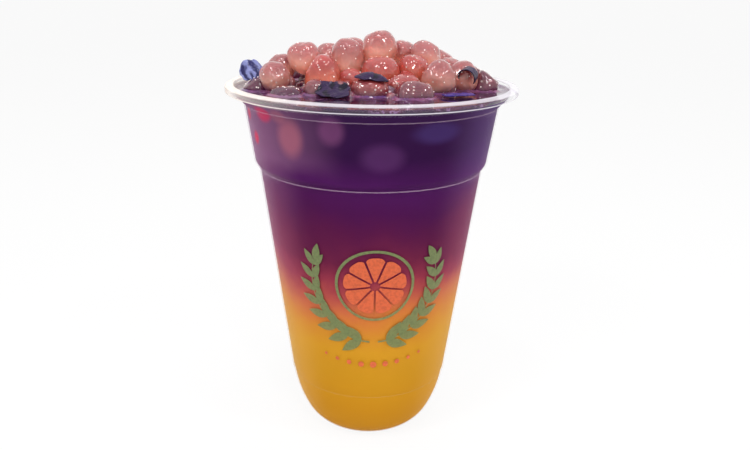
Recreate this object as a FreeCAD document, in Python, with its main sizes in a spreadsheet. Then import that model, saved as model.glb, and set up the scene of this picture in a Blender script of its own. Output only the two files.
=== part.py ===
import FreeCAD, Part
import math
import os

import Sketcher

# Fruit tea in its clear plastic cup: a layered drink, orange below and violet above, filled nearly to
# the rim, with rounded lumps of ice heaped over it and wet flower petals among them.
# Millimetres, +Z up. The origin is on the table, under the middle of the cup's foot.

MODEL = FreeCAD.newDocument("FruitTea")
SHEET = MODEL.addObject("Spreadsheet::Sheet", "Sizes")
SUB_PARTS = []


# ---------------------------------------------------------------------------------------------------
# Sizes: each is a number with the formula that ties it to the sheet
# ---------------------------------------------------------------------------------------------------

class Size:
    """A length or share, held as its present value and as the formula that follows the sheet."""

    def __init__(self, value, formula):
        self.value = float(value)
        self.formula = formula

    def __add__(self, other):
        other = as_size(other)
        return Size(self.value + other.value, f"({self.formula} + {other.formula})")

    def __sub__(self, other):
        other = as_size(other)
        return Size(self.value - other.value, f"({self.formula} - {other.formula})")

    def __mul__(self, other):
        other = as_size(other)
        return Size(self.value * other.value, f"({self.formula} * {other.formula})")

    def __truediv__(self, other):
        other = as_size(other)
        return Size(self.value / other.value, f"({self.formula} / {other.formula})")

    def __neg__(self):
        return as_size(0) - self


def as_size(number):
    """A plain number becomes a Size whose formula is the number itself."""
    if isinstance(number, Size):
        return number
    return Size(number, f"{number:.6g}" if number >= 0 else f"(0 - {-number:.6g})")


def span(across, up):
    """The straight length between two points that lie this far apart across and up."""
    formula = f"sqrt({across.formula} * {across.formula} + {up.formula} * {up.formula})"
    return Size(math.hypot(across.value, up.value), formula)


def driving(alias, value, meaning):
    """Writes one driving dimension in the next row of the sheet and returns it as a Size."""
    driving.row += 1
    SHEET.set(f"A{driving.row}", meaning)
    SHEET.set(f"B{driving.row}", str(value))
    SHEET.setAlias(f"B{driving.row}", alias)
    return Size(value, f"Sizes.{alias}")


driving.row = 0

# The cup
CUP_HEIGHT = driving("cup_height", 122.2, "foot to the top of the rim")
RIM_RADIUS = driving("rim_radius", 47.5, "outside of the rolled rim")
RIM_WIDTH = driving("rim_width", 2.9, "rolled rim, mouth to outside")
RIM_DEPTH = driving("rim_depth", 2.6, "rolled rim, top to its lower edge")
RIM_ROUND = driving("rim_round", 1.1, "rounding of the rolled rim's corners")
WALL = driving("wall", 0.8, "thickness of the cup's wall")
NECK_INSET = driving("neck_inset", 5.7, "rim's outside to the wall below the rim")
NECK_DROP = driving("neck_drop", 5.2, "top of the rim down to the wall below the rim")
NECK_BEAD_DEPTH = driving("neck_bead_depth", 1.0, "height of the thin ring below the rim")
BAND_TAPER = driving("band_taper", 2.7, "how much the upper band narrows on its way down")
SHOULDER_DROP = driving("shoulder_drop", 23.7, "top of the rim down to the foot of the upper band")
LEDGE_STEP = driving("ledge_step", 1.6, "how far the wall steps in at the ledge")
LEDGE_DEPTH = driving("ledge_depth", 2.7, "height of the ledge's curve")
LOW_RADIUS = driving("low_radius", 28.0, "wall at the low ring")
LOW_HEIGHT = driving("low_height", 21.5, "height of the low ring over the table")
LOW_STEP = driving("low_step", 0.35, "how far the heel steps in under the low ring")
LOW_STEP_DEPTH = driving("low_step_depth", 0.8, "height of the step under the low ring")
FOOT_RADIUS = driving("foot_radius", 16.2, "outer edge of the foot ring")
FOOT_WIDTH = driving("foot_width", 1.8, "width of the foot ring")
BASE_RISE = driving("base_rise", 2.4, "how far the middle of the base stands off the table")
BASE_SLANT = driving("base_slant", 1.0, "run of the slant between the foot ring and the base")

# The drink
DRINK_DROP = driving("drink_drop", 1.8, "top of the rim down to the drink's surface")
CITRUS_TOP = driving("citrus_top", 55.6, "top of the orange layer over the table")
BLENDED_DEPTH = driving("blended_depth", 27.9, "depth of the rose layer between orange and violet")

# The heap
LUMP = driving("lump", 10.0, "size of a middling lump of ice")
LUMP_GAP = driving("lump_gap", 0.9, "room left between the outer lumps and the cup's wall")
CORE_RADIUS = driving("core_radius", 28.0, "packed middle of the heap, at the drink's surface")
CORE_BACK = driving("core_back", 6.0, "packed middle of the heap, behind the cup's axis")
CORE_RISE = driving("core_rise", 8.6, "packed middle of the heap, height over the drink")
CORE_SINK = driving("core_sink", 3.0, "packed middle of the heap, depth in the drink")
CORE_SHARE = driving("core_share", 0.9, "foot of the packed middle as a share of its widest")
PETAL = driving("petal", 0.7, "thickness of a wet petal")

MODEL.recompute()

# How far apart two middling lumps lie, as a share of the mouth's radius
SPACING_SHARE = 0.2242

# Sizes that follow from the driving ones
NECK_RADIUS = RIM_RADIUS - NECK_INSET
SHOULDER_RADIUS = NECK_RADIUS - BAND_TAPER
LEDGE_RADIUS = SHOULDER_RADIUS - LEDGE_STEP
HEEL_RADIUS = LOW_RADIUS - LOW_STEP
HEEL_HEIGHT = LOW_HEIGHT - LOW_STEP_DEPTH
MOUTH_RADIUS = RIM_RADIUS - RIM_WIDTH
NECK_HEIGHT = CUP_HEIGHT - NECK_DROP
RIM_UNDERSIDE = CUP_HEIGHT - RIM_DEPTH
SHOULDER_HEIGHT = CUP_HEIGHT - SHOULDER_DROP
LEDGE_HEIGHT = SHOULDER_HEIGHT - LEDGE_DEPTH
FOOT_INNER = FOOT_RADIUS - FOOT_WIDTH
BASE_RADIUS = FOOT_INNER - BASE_SLANT
DRINK_LEVEL = CUP_HEIGHT - DRINK_DROP
SPACING = MOUTH_RADIUS * SPACING_SHARE
TEA_BOTTOM = CITRUS_TOP + BLENDED_DEPTH

# The heel is two arcs. The point where they meet, and how flat each is for its length, are shares.
HEEL_MEET_OUT = 0.62
HEEL_MEET_UP = 0.314
HEEL_TOE_BEND = 1.41
HEEL_SIDE_BEND = 2.97

# Which way is straight into the heel's wall where the two arcs meet, as shares of the wall's thickness
HEEL_INWARD = 0.89
HEEL_UPWARD = 0.45

# The thin ring below the rim: how far the wall has come in at its foot, and its bend, as shares of
# its height
SLANT_OF_WALL = 0.13
BEAD_BEND = 0.8

# The least shared space that counts as two solids reaching into each other, in cubic millimetres, and
# the largest share of a piece that may fall off it as scraps where its neighbours are cut away
SLIVER = 1e-3
SCRAPS = 0.3


# ---------------------------------------------------------------------------------------------------
# Turned pieces: a closed half section, revolved about the cup's axis
# ---------------------------------------------------------------------------------------------------

class Corner:
    """A corner of a half section. Its edge to the next corner is straight, or an arc.

    bend is the arc's radius, or None for a line, and turns_left says which way the arc turns.
    """

    def __init__(self, out, up, bend=None, turns_left=True):
        self.out = as_size(out)
        self.up = as_size(up)
        self.bend = bend
        self.turns_left = turns_left

    def point(self):
        return FreeCAD.Vector(self.out.value, self.up.value, 0)


def arc_between(start, end, radius, turns_left):
    """The shorter arc of this radius from start to end, as sketch geometry."""
    chord = end - start
    middle = (start + end) * 0.5
    reach = math.sqrt(max(radius * radius - chord.Length * chord.Length / 4, 0.0))
    left = FreeCAD.Vector(-chord.y, chord.x, 0).normalize()
    centre = middle + left * (reach if turns_left else -reach)
    first, last = (start, end) if turns_left else (end, start)
    begin = math.atan2(first.y - centre.y, first.x - centre.x)
    finish = math.atan2(last.y - centre.y, last.x - centre.x)
    circle = Part.Circle(centre, FreeCAD.Vector(0, 0, 1), radius)
    return Part.ArcOfCircle(circle, begin, finish if finish > begin else finish + 2 * math.pi)


def bind(sketch, kind, geometry, size, name):
    """Adds a constraint of this kind and ties it to a size's formula."""
    index = sketch.addConstraint(Sketcher.Constraint(kind, *geometry, size.value))
    sketch.renameConstraint(index, name)
    sketch.setExpression(f"Constraints.{name}", size.formula)


def draw_outline(sketch, corners):
    """Draws a closed outline in a sketch and ties each of its corners and bends to the sheet."""
    start_of = []
    end_of = []
    for index, corner in enumerate(corners):
        here = corner.point()
        there = corners[(index + 1) % len(corners)].point()
        if corner.bend is None:
            sketch.addGeometry(Part.LineSegment(here, there))
            start_of.append((index, 1))
            end_of.append((index, 2))
        else:
            sketch.addGeometry(arc_between(here, there, corner.bend.value, corner.turns_left))
            start_of.append((index, 1 if corner.turns_left else 2))
            end_of.append((index, 2 if corner.turns_left else 1))
    for index in range(len(corners)):
        sketch.addConstraint(Sketcher.Constraint("Coincident", *end_of[index - 1], *start_of[index]))
    for index, corner in enumerate(corners):
        if corner.out.value == 0:
            sketch.addConstraint(Sketcher.Constraint("PointOnObject", *start_of[index], -2))
        else:
            bind(sketch, "DistanceX", (-1, 1, *start_of[index]), corner.out, f"out_{index}")
        if corner.up.value == 0:
            sketch.addConstraint(Sketcher.Constraint("PointOnObject", *start_of[index], -1))
        else:
            bind(sketch, "DistanceY", (-1, 1, *start_of[index]), corner.up, f"up_{index}")
        if corner.bend is not None:
            bind(sketch, "Radius", (index,), corner.bend, f"bend_{index}")


def origin_plane(body, role):
    """One of a body's own origin planes."""
    return next(item for item in body.Origin.OriginFeatures if item.Role == role)


def turned_body(name, corners):
    """A body turned about the cup's axis from a closed half section."""
    body = MODEL.addObject("PartDesign::Body", name)
    sketch = body.newObject("Sketcher::SketchObject", f"{name}_section")
    sketch.AttachmentSupport = [(origin_plane(body, "XZ_Plane"), "")]
    sketch.MapMode = "FlatFace"
    draw_outline(sketch, corners)
    turn = body.newObject("PartDesign::Revolution", f"{name}_turn")
    turn.Profile = sketch
    turn.ReferenceAxis = (sketch, ["V_Axis"])
    turn.Angle = 360
    body.Tip = turn
    return body


def heel(foot, top, wall_share):
    """The heel's corners, from the foot's edge to the point below the low ring.

    wall_share is 0 for the outer skin and 1 for the inner one, which runs a wall's thickness inside.
    """
    inset = WALL * wall_share
    meet_out = FOOT_RADIUS + (HEEL_RADIUS - FOOT_RADIUS) * HEEL_MEET_OUT - inset * HEEL_INWARD
    meet_up = HEEL_HEIGHT * HEEL_MEET_UP + inset * HEEL_UPWARD
    toe = span(meet_out - foot[0], meet_up - foot[1]) * HEEL_TOE_BEND
    side = span(top[0] - meet_out, top[1] - meet_up) * HEEL_SIDE_BEND
    return [Corner(*foot, bend=toe), Corner(meet_out, meet_up, bend=side)]


def outer_corners():
    """The cup's outer skin, closed across the top, from the middle of the base outwards."""
    heel_top = (HEEL_RADIUS, HEEL_HEIGHT)
    bead_bottom = NECK_HEIGHT - NECK_BEAD_DEPTH
    bead_slope = NECK_BEAD_DEPTH * SLANT_OF_WALL
    ledge_bend = span(LEDGE_STEP, LEDGE_DEPTH)
    return [
        Corner(0, BASE_RISE),
        Corner(BASE_RADIUS, BASE_RISE),
        Corner(FOOT_INNER, 0),
        Corner(FOOT_RADIUS - FOOT_WIDTH / 4, 0),
        *heel((FOOT_RADIUS, WALL / 4), heel_top, 0),
        Corner(*heel_top),
        Corner(LOW_RADIUS, LOW_HEIGHT),
        Corner(LEDGE_RADIUS, LEDGE_HEIGHT, bend=ledge_bend),
        Corner(SHOULDER_RADIUS, SHOULDER_HEIGHT),
        Corner(NECK_RADIUS - bead_slope, bead_bottom, bend=NECK_BEAD_DEPTH * BEAD_BEND),
        Corner(NECK_RADIUS, NECK_HEIGHT),
        Corner(MOUTH_RADIUS + WALL, RIM_UNDERSIDE),
        Corner(RIM_RADIUS - RIM_ROUND, RIM_UNDERSIDE, bend=RIM_ROUND),
        Corner(RIM_RADIUS, RIM_UNDERSIDE + RIM_ROUND),
        Corner(RIM_RADIUS, CUP_HEIGHT - RIM_ROUND, bend=RIM_ROUND),
        Corner(RIM_RADIUS - RIM_ROUND, CUP_HEIGHT),
        Corner(MOUTH_RADIUS + WALL / 2, CUP_HEIGHT, bend=WALL / 2),
        Corner(MOUTH_RADIUS, CUP_HEIGHT - WALL / 2),
        Corner(0, CUP_HEIGHT - WALL / 2),
    ]


def inner_corners():
    """The cup's inner skin, carried on a little above the rim, from the middle of the floor outwards."""
    heel_top = (HEEL_RADIUS - WALL, HEEL_HEIGHT)
    ledge_bend = span(LEDGE_STEP, LEDGE_DEPTH)
    floor = BASE_RISE + WALL
    return [
        Corner(0, floor),
        Corner(BASE_RADIUS + WALL / 3, floor),
        Corner(FOOT_INNER + WALL / 3, WALL),
        *heel((FOOT_RADIUS - WALL / 4, WALL), heel_top, 1),
        Corner(*heel_top),
        Corner(LOW_RADIUS - WALL, LOW_HEIGHT),
        Corner(LEDGE_RADIUS - WALL, LEDGE_HEIGHT, bend=ledge_bend),
        Corner(SHOULDER_RADIUS - WALL, SHOULDER_HEIGHT),
        Corner(NECK_RADIUS - WALL, NECK_HEIGHT),
        Corner(MOUTH_RADIUS, RIM_UNDERSIDE + RIM_DEPTH / 2),
        Corner(MOUTH_RADIUS, CUP_HEIGHT + RIM_DEPTH),
        Corner(0, CUP_HEIGHT + RIM_DEPTH),
    ]


def core_corners():
    """The packed middle of the heap: a low dome that dips into the drink."""
    foot_radius = CORE_RADIUS * CORE_SHARE
    crown = (CORE_RADIUS * CORE_RADIUS + CORE_RISE * CORE_RISE) / (CORE_RISE * 2)
    return [
        Corner(0, DRINK_LEVEL - CORE_SINK),
        Corner(foot_radius, DRINK_LEVEL - CORE_SINK),
        Corner(CORE_RADIUS, DRINK_LEVEL, bend=crown),
        Corner(0, DRINK_LEVEL + CORE_RISE),
    ]


# ---------------------------------------------------------------------------------------------------
# Lumps of ice: tapered blocks with every edge melted round
# ---------------------------------------------------------------------------------------------------

class Lump:
    """One lump of ice. Its three sizes are counted in middling lumps.

    across is to the right of the cup's axis and back is behind it, both counted in spacings of the
    lumps, and up is its height over the drink's surface, counted in middling lumps.
    top is the share of its width left at the top, turn spins it about the vertical and lean tips it.
    """

    def __init__(self, across, back, up, wide, deep, tall, top=0.85, turn=0.0, lean=0.0):
        self.across = across
        self.back = back
        self.up = up
        self.wide = wide
        self.deep = deep
        self.tall = tall
        self.top = top
        self.turn = turn
        self.lean = lean

    def half_reach(self):
        """Half of the lump's mean width, in millimetres."""
        return LUMP.value * (self.wide + self.deep) / 4

    def centre(self):
        """The middle of the lump, drawn in towards the axis where the cup's wall would cut it."""
        out = SPACING.value * math.hypot(self.across, self.back)
        drink_radius = (NECK_RADIUS.value - WALL.value + MOUTH_RADIUS.value) / 2
        limit = drink_radius - LUMP_GAP.value - self.half_reach()
        pull = min(1.0, limit / out)
        flat = FreeCAD.Vector(self.across, self.back, 0) * (SPACING.value * pull)
        return flat + FreeCAD.Vector(0, 0, DRINK_LEVEL.value + self.up * LUMP.value)


# Melted edges: their radius as a share of the lump's smallest side
MELT = 0.44

# Lumps of the front and the crown, each laid by hand
LAID_LUMPS = [
    Lump(-3.78, -0.80, 0.08, 0.92, 0.95, 0.78, top=0.84, turn=20),
    Lump(-3.04, -0.97, 0.42, 1.04, 1.06, 0.96, top=0.82, turn=35, lean=8),
    Lump(-2.62, -1.78, -0.12, 1.16, 0.94, 0.76, top=0.84, turn=-42),
    Lump(-2.21, 0.00, 0.90, 1.10, 1.08, 1.08, top=0.84, turn=10, lean=-10),
    Lump(-3.01, 0.44, 0.58, 0.94, 0.94, 0.86, top=0.88, turn=60),
    Lump(-1.52, -0.90, 0.54, 1.36, 1.10, 1.20, top=0.56, turn=6, lean=3),
    Lump(-1.71, -1.54, 0.10, 0.78, 0.76, 0.72, top=0.86, turn=25),
    Lump(-0.81, -0.16, 0.96, 1.08, 1.08, 1.26, top=0.84, turn=-12, lean=4),
    Lump(-1.40, 0.68, 0.90, 0.94, 1.00, 0.92, top=0.88, turn=30),
    Lump(0.21, 0.26, 1.26, 1.30, 1.18, 1.10, top=0.70, turn=8, lean=-6),
    Lump(1.01, 0.80, 0.98, 0.96, 1.00, 0.98, top=0.86, turn=-25, lean=12),
    Lump(0.24, -0.64, 0.52, 1.34, 1.14, 1.10, top=0.86, turn=-4),
    Lump(1.28, -0.36, 0.64, 1.08, 1.00, 1.00, top=0.88, turn=14),
    Lump(1.72, 0.40, 0.98, 1.02, 1.04, 1.04, top=0.80, turn=-18, lean=-8),
    Lump(2.07, -0.87, 0.46, 1.16, 1.06, 1.12, top=0.76, turn=22, lean=-5),
    Lump(2.96, -0.18, 0.44, 1.08, 1.06, 0.98, top=0.84, turn=-8, lean=8),
    Lump(3.80, -0.12, 0.22, 0.96, 0.96, 0.98, top=0.60, turn=-6, lean=14),
    Lump(1.30, -1.86, 0.04, 1.44, 1.00, 0.92, top=0.80, turn=12),
    Lump(-0.08, -1.69, 0.10, 1.30, 0.96, 0.86, top=0.82, turn=-5),
    Lump(0.98, -1.16, 0.16, 1.10, 0.90, 0.90, top=0.86, turn=4),
    Lump(-0.94, -1.50, 0.02, 0.94, 0.90, 0.82, top=0.84, turn=-20),
    Lump(2.56, -0.86, 0.06, 1.06, 0.94, 0.80, top=0.84, turn=40),
    Lump(-0.61, -0.84, 0.26, 0.94, 0.90, 0.92, top=0.86, turn=33),
    Lump(1.18, -0.76, 0.32, 0.86, 0.84, 0.88, top=0.86, turn=-30),
    Lump(-0.12, -1.12, 0.12, 0.92, 0.84, 0.80, top=0.86, turn=12),
    Lump(2.11, -0.18, 0.46, 0.86, 0.92, 0.90, top=0.84, turn=38),
    Lump(2.55, 0.52, 0.50, 0.94, 0.96, 0.92, top=0.86, turn=-35),
    Lump(-1.50, -0.14, 0.44, 0.86, 0.96, 0.90, top=0.86, turn=-8),
    Lump(-2.86, -0.38, 0.20, 0.84, 0.84, 0.82, top=0.86, turn=20),
]

# Lumps of the back, in rings about the axis: how many, how far out, how high, and the first and last
# bearing, counted from straight ahead of the front towards the right
BACK_RINGS = [
    (9, 3.70, 0.18, 106, 254),
    (6, 2.66, 0.56, 122, 240),
    (3, 1.95, 0.94, 158, 202),
]


# How uneven the lumps of a ring are, in lumps, and how far they tip, in degrees
STRAY = 0.08
SPREAD = 0.10
TIP = 8


def ring_lumps(count, out, up, first, last, ring):
    """A ring of lumps round the back, made uneven by slow waves of different lengths."""
    lumps = []
    for index in range(count):
        bearing = math.radians(first + (last - first) * index / (count - 1))
        wave = math.sin(2.4 * index + 1.7 * ring)
        ripple = math.cos(4.1 * index + 0.9 * ring)
        lumps.append(Lump(
            (out + STRAY * ripple) * math.sin(bearing),
            -(out + STRAY * ripple) * math.cos(bearing),
            up + SPREAD * wave,
            1.02 + SPREAD * ripple,
            0.96 + STRAY * wave,
            0.92 + STRAY * ripple,
            top=0.82 + 0.06 * wave,
            turn=47 * index,
            lean=TIP * ripple,
        ))
    return lumps


def melted_block(name, lump):
    """A tapered block standing on its wide face, melted round on every edge."""
    body = MODEL.addObject("PartDesign::Body", name)
    block = body.newObject("PartDesign::AdditiveWedge", f"{name}_block")
    half_wide = LUMP * (lump.wide / 2)
    half_deep = LUMP * (lump.deep / 2)
    half_tall = LUMP * (lump.tall / 2)
    for limit, size in (
        ("Xmax", half_wide), ("Zmax", half_deep), ("Ymax", half_tall),
        ("X2max", half_wide * lump.top), ("Z2max", half_deep * lump.top),
    ):
        for side, value in ((limit, size), (limit.replace("max", "min"), -size)):
            setattr(block, side, value.value)
            block.setExpression(side, value.formula)
    MODEL.recompute()
    melt = body.newObject("PartDesign::Fillet", f"{name}_melt")
    melt.Base = (block, [f"Edge{index + 1}" for index in range(len(block.Shape.Edges))])
    radius = LUMP * (min(lump.wide * lump.top, lump.deep * lump.top, lump.tall) * MELT)
    melt.Radius = radius.value
    melt.setExpression("Radius", radius.formula)
    body.Tip = melt
    standing = FreeCAD.Rotation(FreeCAD.Vector(1, 0, 0), 90)
    turned = FreeCAD.Rotation(FreeCAD.Vector(0, 0, 1), lump.turn)
    leaning = FreeCAD.Rotation(FreeCAD.Vector(0, 1, 0), lump.lean)
    body.Placement = FreeCAD.Placement(lump.centre(), turned.multiply(leaning).multiply(standing))
    return body


# ---------------------------------------------------------------------------------------------------
# Petals: thin sheets curled about an axis
# ---------------------------------------------------------------------------------------------------

class Petal:
    """One wet petal: a strip of a thin pipe's wall.

    curl is the radius it is bent to, sweep how far round it goes in degrees and long its length along
    the bend's axis, both lengths in lumps. across, back and up place the middle of the bend's axis,
    counted as a lump's are.
    """

    def __init__(self, name, across, back, up, curl, sweep, long, turn, tip, roll):
        self.name = name
        self.across = across
        self.back = back
        self.up = up
        self.curl = curl
        self.sweep = sweep
        self.long = long
        self.turn = turn
        self.tip = tip
        self.roll = roll


PETALS = [
    Petal("petal_wrinkled", -3.66, -0.32, 0.72, 0.42, 130, 0.62, turn=24, tip=72, roll=0),
    Petal("petal_looped", 3.06, -0.70, 0.70, 0.24, 210, 0.42, turn=-20, tip=64, roll=30),
    Petal("petal_cap", -0.02, -1.72, -0.30, 0.86, 60, 0.62, turn=-4, tip=0, roll=0),
    Petal("petal_dark", -1.28, -1.88, -0.36, 0.62, 74, 0.60, turn=-14, tip=0, roll=-10),
    Petal("petal_floating", 2.62, -1.62, -0.90, 1.00, 56, 0.52, turn=24, tip=0, roll=4),
]


def curled_petal(petal):
    """A petal as a solid, before what it lies on is cut away from it."""
    body = MODEL.addObject("PartDesign::Body", f"{petal.name}_sheet")
    sketch = body.newObject("Sketcher::SketchObject", f"{petal.name}_bend")
    sketch.AttachmentSupport = [(origin_plane(body, "XZ_Plane"), "")]
    sketch.MapMode = "FlatFace"
    curl = LUMP * petal.curl
    half = math.radians(petal.sweep / 2)
    outer = curl + PETAL
    draw_outline(sketch, [
        Corner(outer * math.sin(half), outer * math.cos(half), bend=outer),
        Corner(outer * -math.sin(half), outer * math.cos(half)),
        Corner(curl * -math.sin(half), curl * math.cos(half), bend=curl, turns_left=False),
        Corner(curl * math.sin(half), curl * math.cos(half)),
    ])
    pad = body.newObject("PartDesign::Pad", f"{petal.name}_pad")
    pad.Profile = sketch
    pad.Midplane = True
    length = LUMP * petal.long
    pad.Length = length.value
    pad.setExpression("Length", length.formula)
    body.Tip = pad
    return body


# ---------------------------------------------------------------------------------------------------
# Building
# ---------------------------------------------------------------------------------------------------

def keep(item, label):
    """Names an object as a sub-part of the model."""
    item.Label = label
    SUB_PARTS.append(item)
    return item


def boolean(kind, name, base, tool):
    """A Part boolean of two objects of the document."""
    item = MODEL.addObject(f"Part::{kind}", name)
    item.Base = base
    item.Tool = tool
    MODEL.recompute()
    return item


def slab(name, bottom, top):
    """A wide flat cylinder that picks out one layer of the drink."""
    item = MODEL.addObject("Part::Cylinder", name)
    item.setExpression("Radius", RIM_RADIUS.formula)
    item.setExpression("Height", (top - bottom).formula)
    item.setExpression("Placement.Base.z", bottom.formula)
    return item


def overlaps(one, other):
    """Whether two solids share more than a sliver of space."""
    if not one.Shape.BoundBox.intersect(other.Shape.BoundBox):
        return False
    return one.Shape.common(other.Shape).Volume > SLIVER


def joined(name, items):
    """The union of many objects, as one tool for cutting."""
    item = MODEL.addObject("Part::MultiFuse", name)
    item.Shapes = items
    MODEL.recompute()
    return item


def cut_round(name, item, others):
    """Cuts away from an object each of the others that reaches into it, one after another."""
    for index, other in enumerate(others):
        if overlaps(item, other):
            item = boolean("Cut", f"{name}_round_{index}", item, other)
    return item


def main_piece(name, item):
    """The largest solid of a cut, where all that it left beside it is scraps."""
    solids = sorted(item.Shape.Solids, key=lambda solid: solid.Volume)
    if len(solids) == 1:
        return item
    if sum(solid.Volume for solid in solids[:-1]) > SCRAPS * item.Shape.Volume:
        raise RuntimeError(f"{item.Name} fell into {len(solids)} pieces")
    kept = MODEL.addObject("Part::Feature", name)
    kept.Shape = solids[-1]
    return kept


def build():
    """Makes every sub-part of the drink."""
    outer = turned_body("outer_skin", outer_corners())
    inner = turned_body("inner_skin", inner_corners())
    keep(boolean("Cut", "cup_wall", outer, inner), "cup")

    floor = as_size(0)
    keep(boolean("Common", "citrus", inner, slab("citrus_slab", floor, CITRUS_TOP)), "citrus_layer")
    keep(boolean("Common", "blend", inner, slab("blend_slab", CITRUS_TOP, TEA_BOTTOM)), "blended_layer")
    tea = boolean("Common", "tea", inner, slab("tea_slab", TEA_BOTTOM, DRINK_LEVEL))

    lumps = list(LAID_LUMPS)
    for ring, row in enumerate(BACK_RINGS):
        lumps += ring_lumps(*row, ring)
    ice = []
    for number, lump in enumerate(lumps, start=1):
        name = f"ice_{number:02d}"
        whole = melted_block(f"{name}_whole", lump)
        MODEL.recompute()
        ice.append(main_piece(f"{name}_main", cut_round(name, whole, ice)))
        keep(ice[-1], name)

    petals = []
    for petal in PETALS:
        sheet = curled_petal(petal)
        spot = FreeCAD.Vector(petal.across, petal.back, 0) * SPACING.value
        spot.z = DRINK_LEVEL.value + petal.up * LUMP.value
        sheet.Placement = FreeCAD.Placement(spot, FreeCAD.Rotation(petal.turn, petal.roll, petal.tip))
        MODEL.recompute()
        petals.append(main_piece(f"{petal.name}_main", cut_round(petal.name, sheet, ice)))
        keep(petals[-1], petal.name)

    heaped = joined("heaped", ice + petals)
    dome = turned_body("core_dome", core_corners())
    dome.setExpression("Placement.Base.y", CORE_BACK.formula)
    MODEL.recompute()
    keep(main_piece("core_main", boolean("Cut", "core", dome, heaped)), "ice_core")
    keep(cut_round("tea_body", tea, [heaped, SUB_PARTS[-1]]), "tea_layer")


def check():
    """Stops on any object that failed, and on any sub-part that is not one valid solid."""
    for item in MODEL.Objects:
        if "Invalid" in item.State or "Error" in item.State:
            raise RuntimeError(f"{item.Name} failed: {item.State}")
    for item in SUB_PARTS:
        if item.Shape.isNull() or not item.Shape.isValid():
            raise RuntimeError(f"{item.Label} has no valid shape")
        if len(item.Shape.Solids) != 1:
            raise RuntimeError(f"{item.Label} is {len(item.Shape.Solids)} solids")


def write():
    """Writes each sub-part to its own file."""
    os.makedirs("parts", exist_ok=True)
    for item in SUB_PARTS:
        item.Shape.exportStep(f"parts/{item.Label}.step")
        print(item.Label, round(item.Shape.Volume, 1))


build()
MODEL.recompute()
check()
write()
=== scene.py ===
"""Fruit tea in its cup: the dressed model.

A frosted plastic cup holds a drink that runs from orange at the foot, through rose, to violet at the
rim. Rounded lumps of ice are heaped over it, wet with the drink, with small chips between them and a few
dark flower petals. Every piece is in metres in the row's frame, and rides on the one body.
"""

import logging
import math
from dataclasses import dataclass
from enum import Enum
from typing import Callable, Sequence

import bmesh
import bpy
import numpy as np
from mathutils import Euler, Matrix, Vector, noise
from mathutils.bvhtree import BVHTree
from mathutils.kdtree import KDTree


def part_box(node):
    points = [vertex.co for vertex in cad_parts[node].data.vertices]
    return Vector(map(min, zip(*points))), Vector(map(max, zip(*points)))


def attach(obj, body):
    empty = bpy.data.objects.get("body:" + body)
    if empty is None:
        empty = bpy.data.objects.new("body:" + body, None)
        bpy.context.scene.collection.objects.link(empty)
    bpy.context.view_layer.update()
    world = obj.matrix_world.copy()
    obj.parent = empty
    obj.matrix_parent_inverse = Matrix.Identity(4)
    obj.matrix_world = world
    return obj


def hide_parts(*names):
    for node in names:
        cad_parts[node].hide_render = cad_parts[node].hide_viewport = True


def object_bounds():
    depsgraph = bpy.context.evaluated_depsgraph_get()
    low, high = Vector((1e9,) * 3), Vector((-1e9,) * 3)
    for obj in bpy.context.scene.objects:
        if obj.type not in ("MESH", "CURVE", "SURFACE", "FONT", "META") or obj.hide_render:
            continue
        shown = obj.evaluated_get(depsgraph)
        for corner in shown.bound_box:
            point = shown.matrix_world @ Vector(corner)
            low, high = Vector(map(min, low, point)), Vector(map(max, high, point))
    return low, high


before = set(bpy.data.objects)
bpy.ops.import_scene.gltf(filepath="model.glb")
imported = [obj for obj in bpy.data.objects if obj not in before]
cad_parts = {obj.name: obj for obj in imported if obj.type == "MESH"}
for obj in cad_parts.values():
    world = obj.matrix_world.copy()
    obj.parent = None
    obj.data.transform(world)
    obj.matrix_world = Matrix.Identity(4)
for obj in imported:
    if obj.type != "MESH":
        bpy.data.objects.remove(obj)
CAD_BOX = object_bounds()

LOG = logging.getLogger("fruit_tea")
MM = 0.001
BODY = "root"

GOLDEN_TURN = math.radians(137.508)
ON_AXIS = 1e-7

Colour = tuple[float, float, float, float]
Point = tuple[float, float]
Triple = tuple[float, float, float]
Profile = list[Point]


# ----------------------------------------------------------------------------------------------------
# Shader tools
# ----------------------------------------------------------------------------------------------------

def tone(red: int, green: int, blue: int) -> Colour:
    """Turns a display colour into the linear one that shaders use.

    Args:
        red, green, blue: The colour's parts, from 0 to 255.

    Returns:
        The linear colour, with an alpha of 1.
    """
    def linear(part: float) -> float:
        """One part of the colour."""
        share = part / 255.0
        return share / 12.92 if share <= 0.04045 else ((share + 0.055) / 1.055) ** 2.4

    return (linear(red), linear(green), linear(blue), 1.0)


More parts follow.
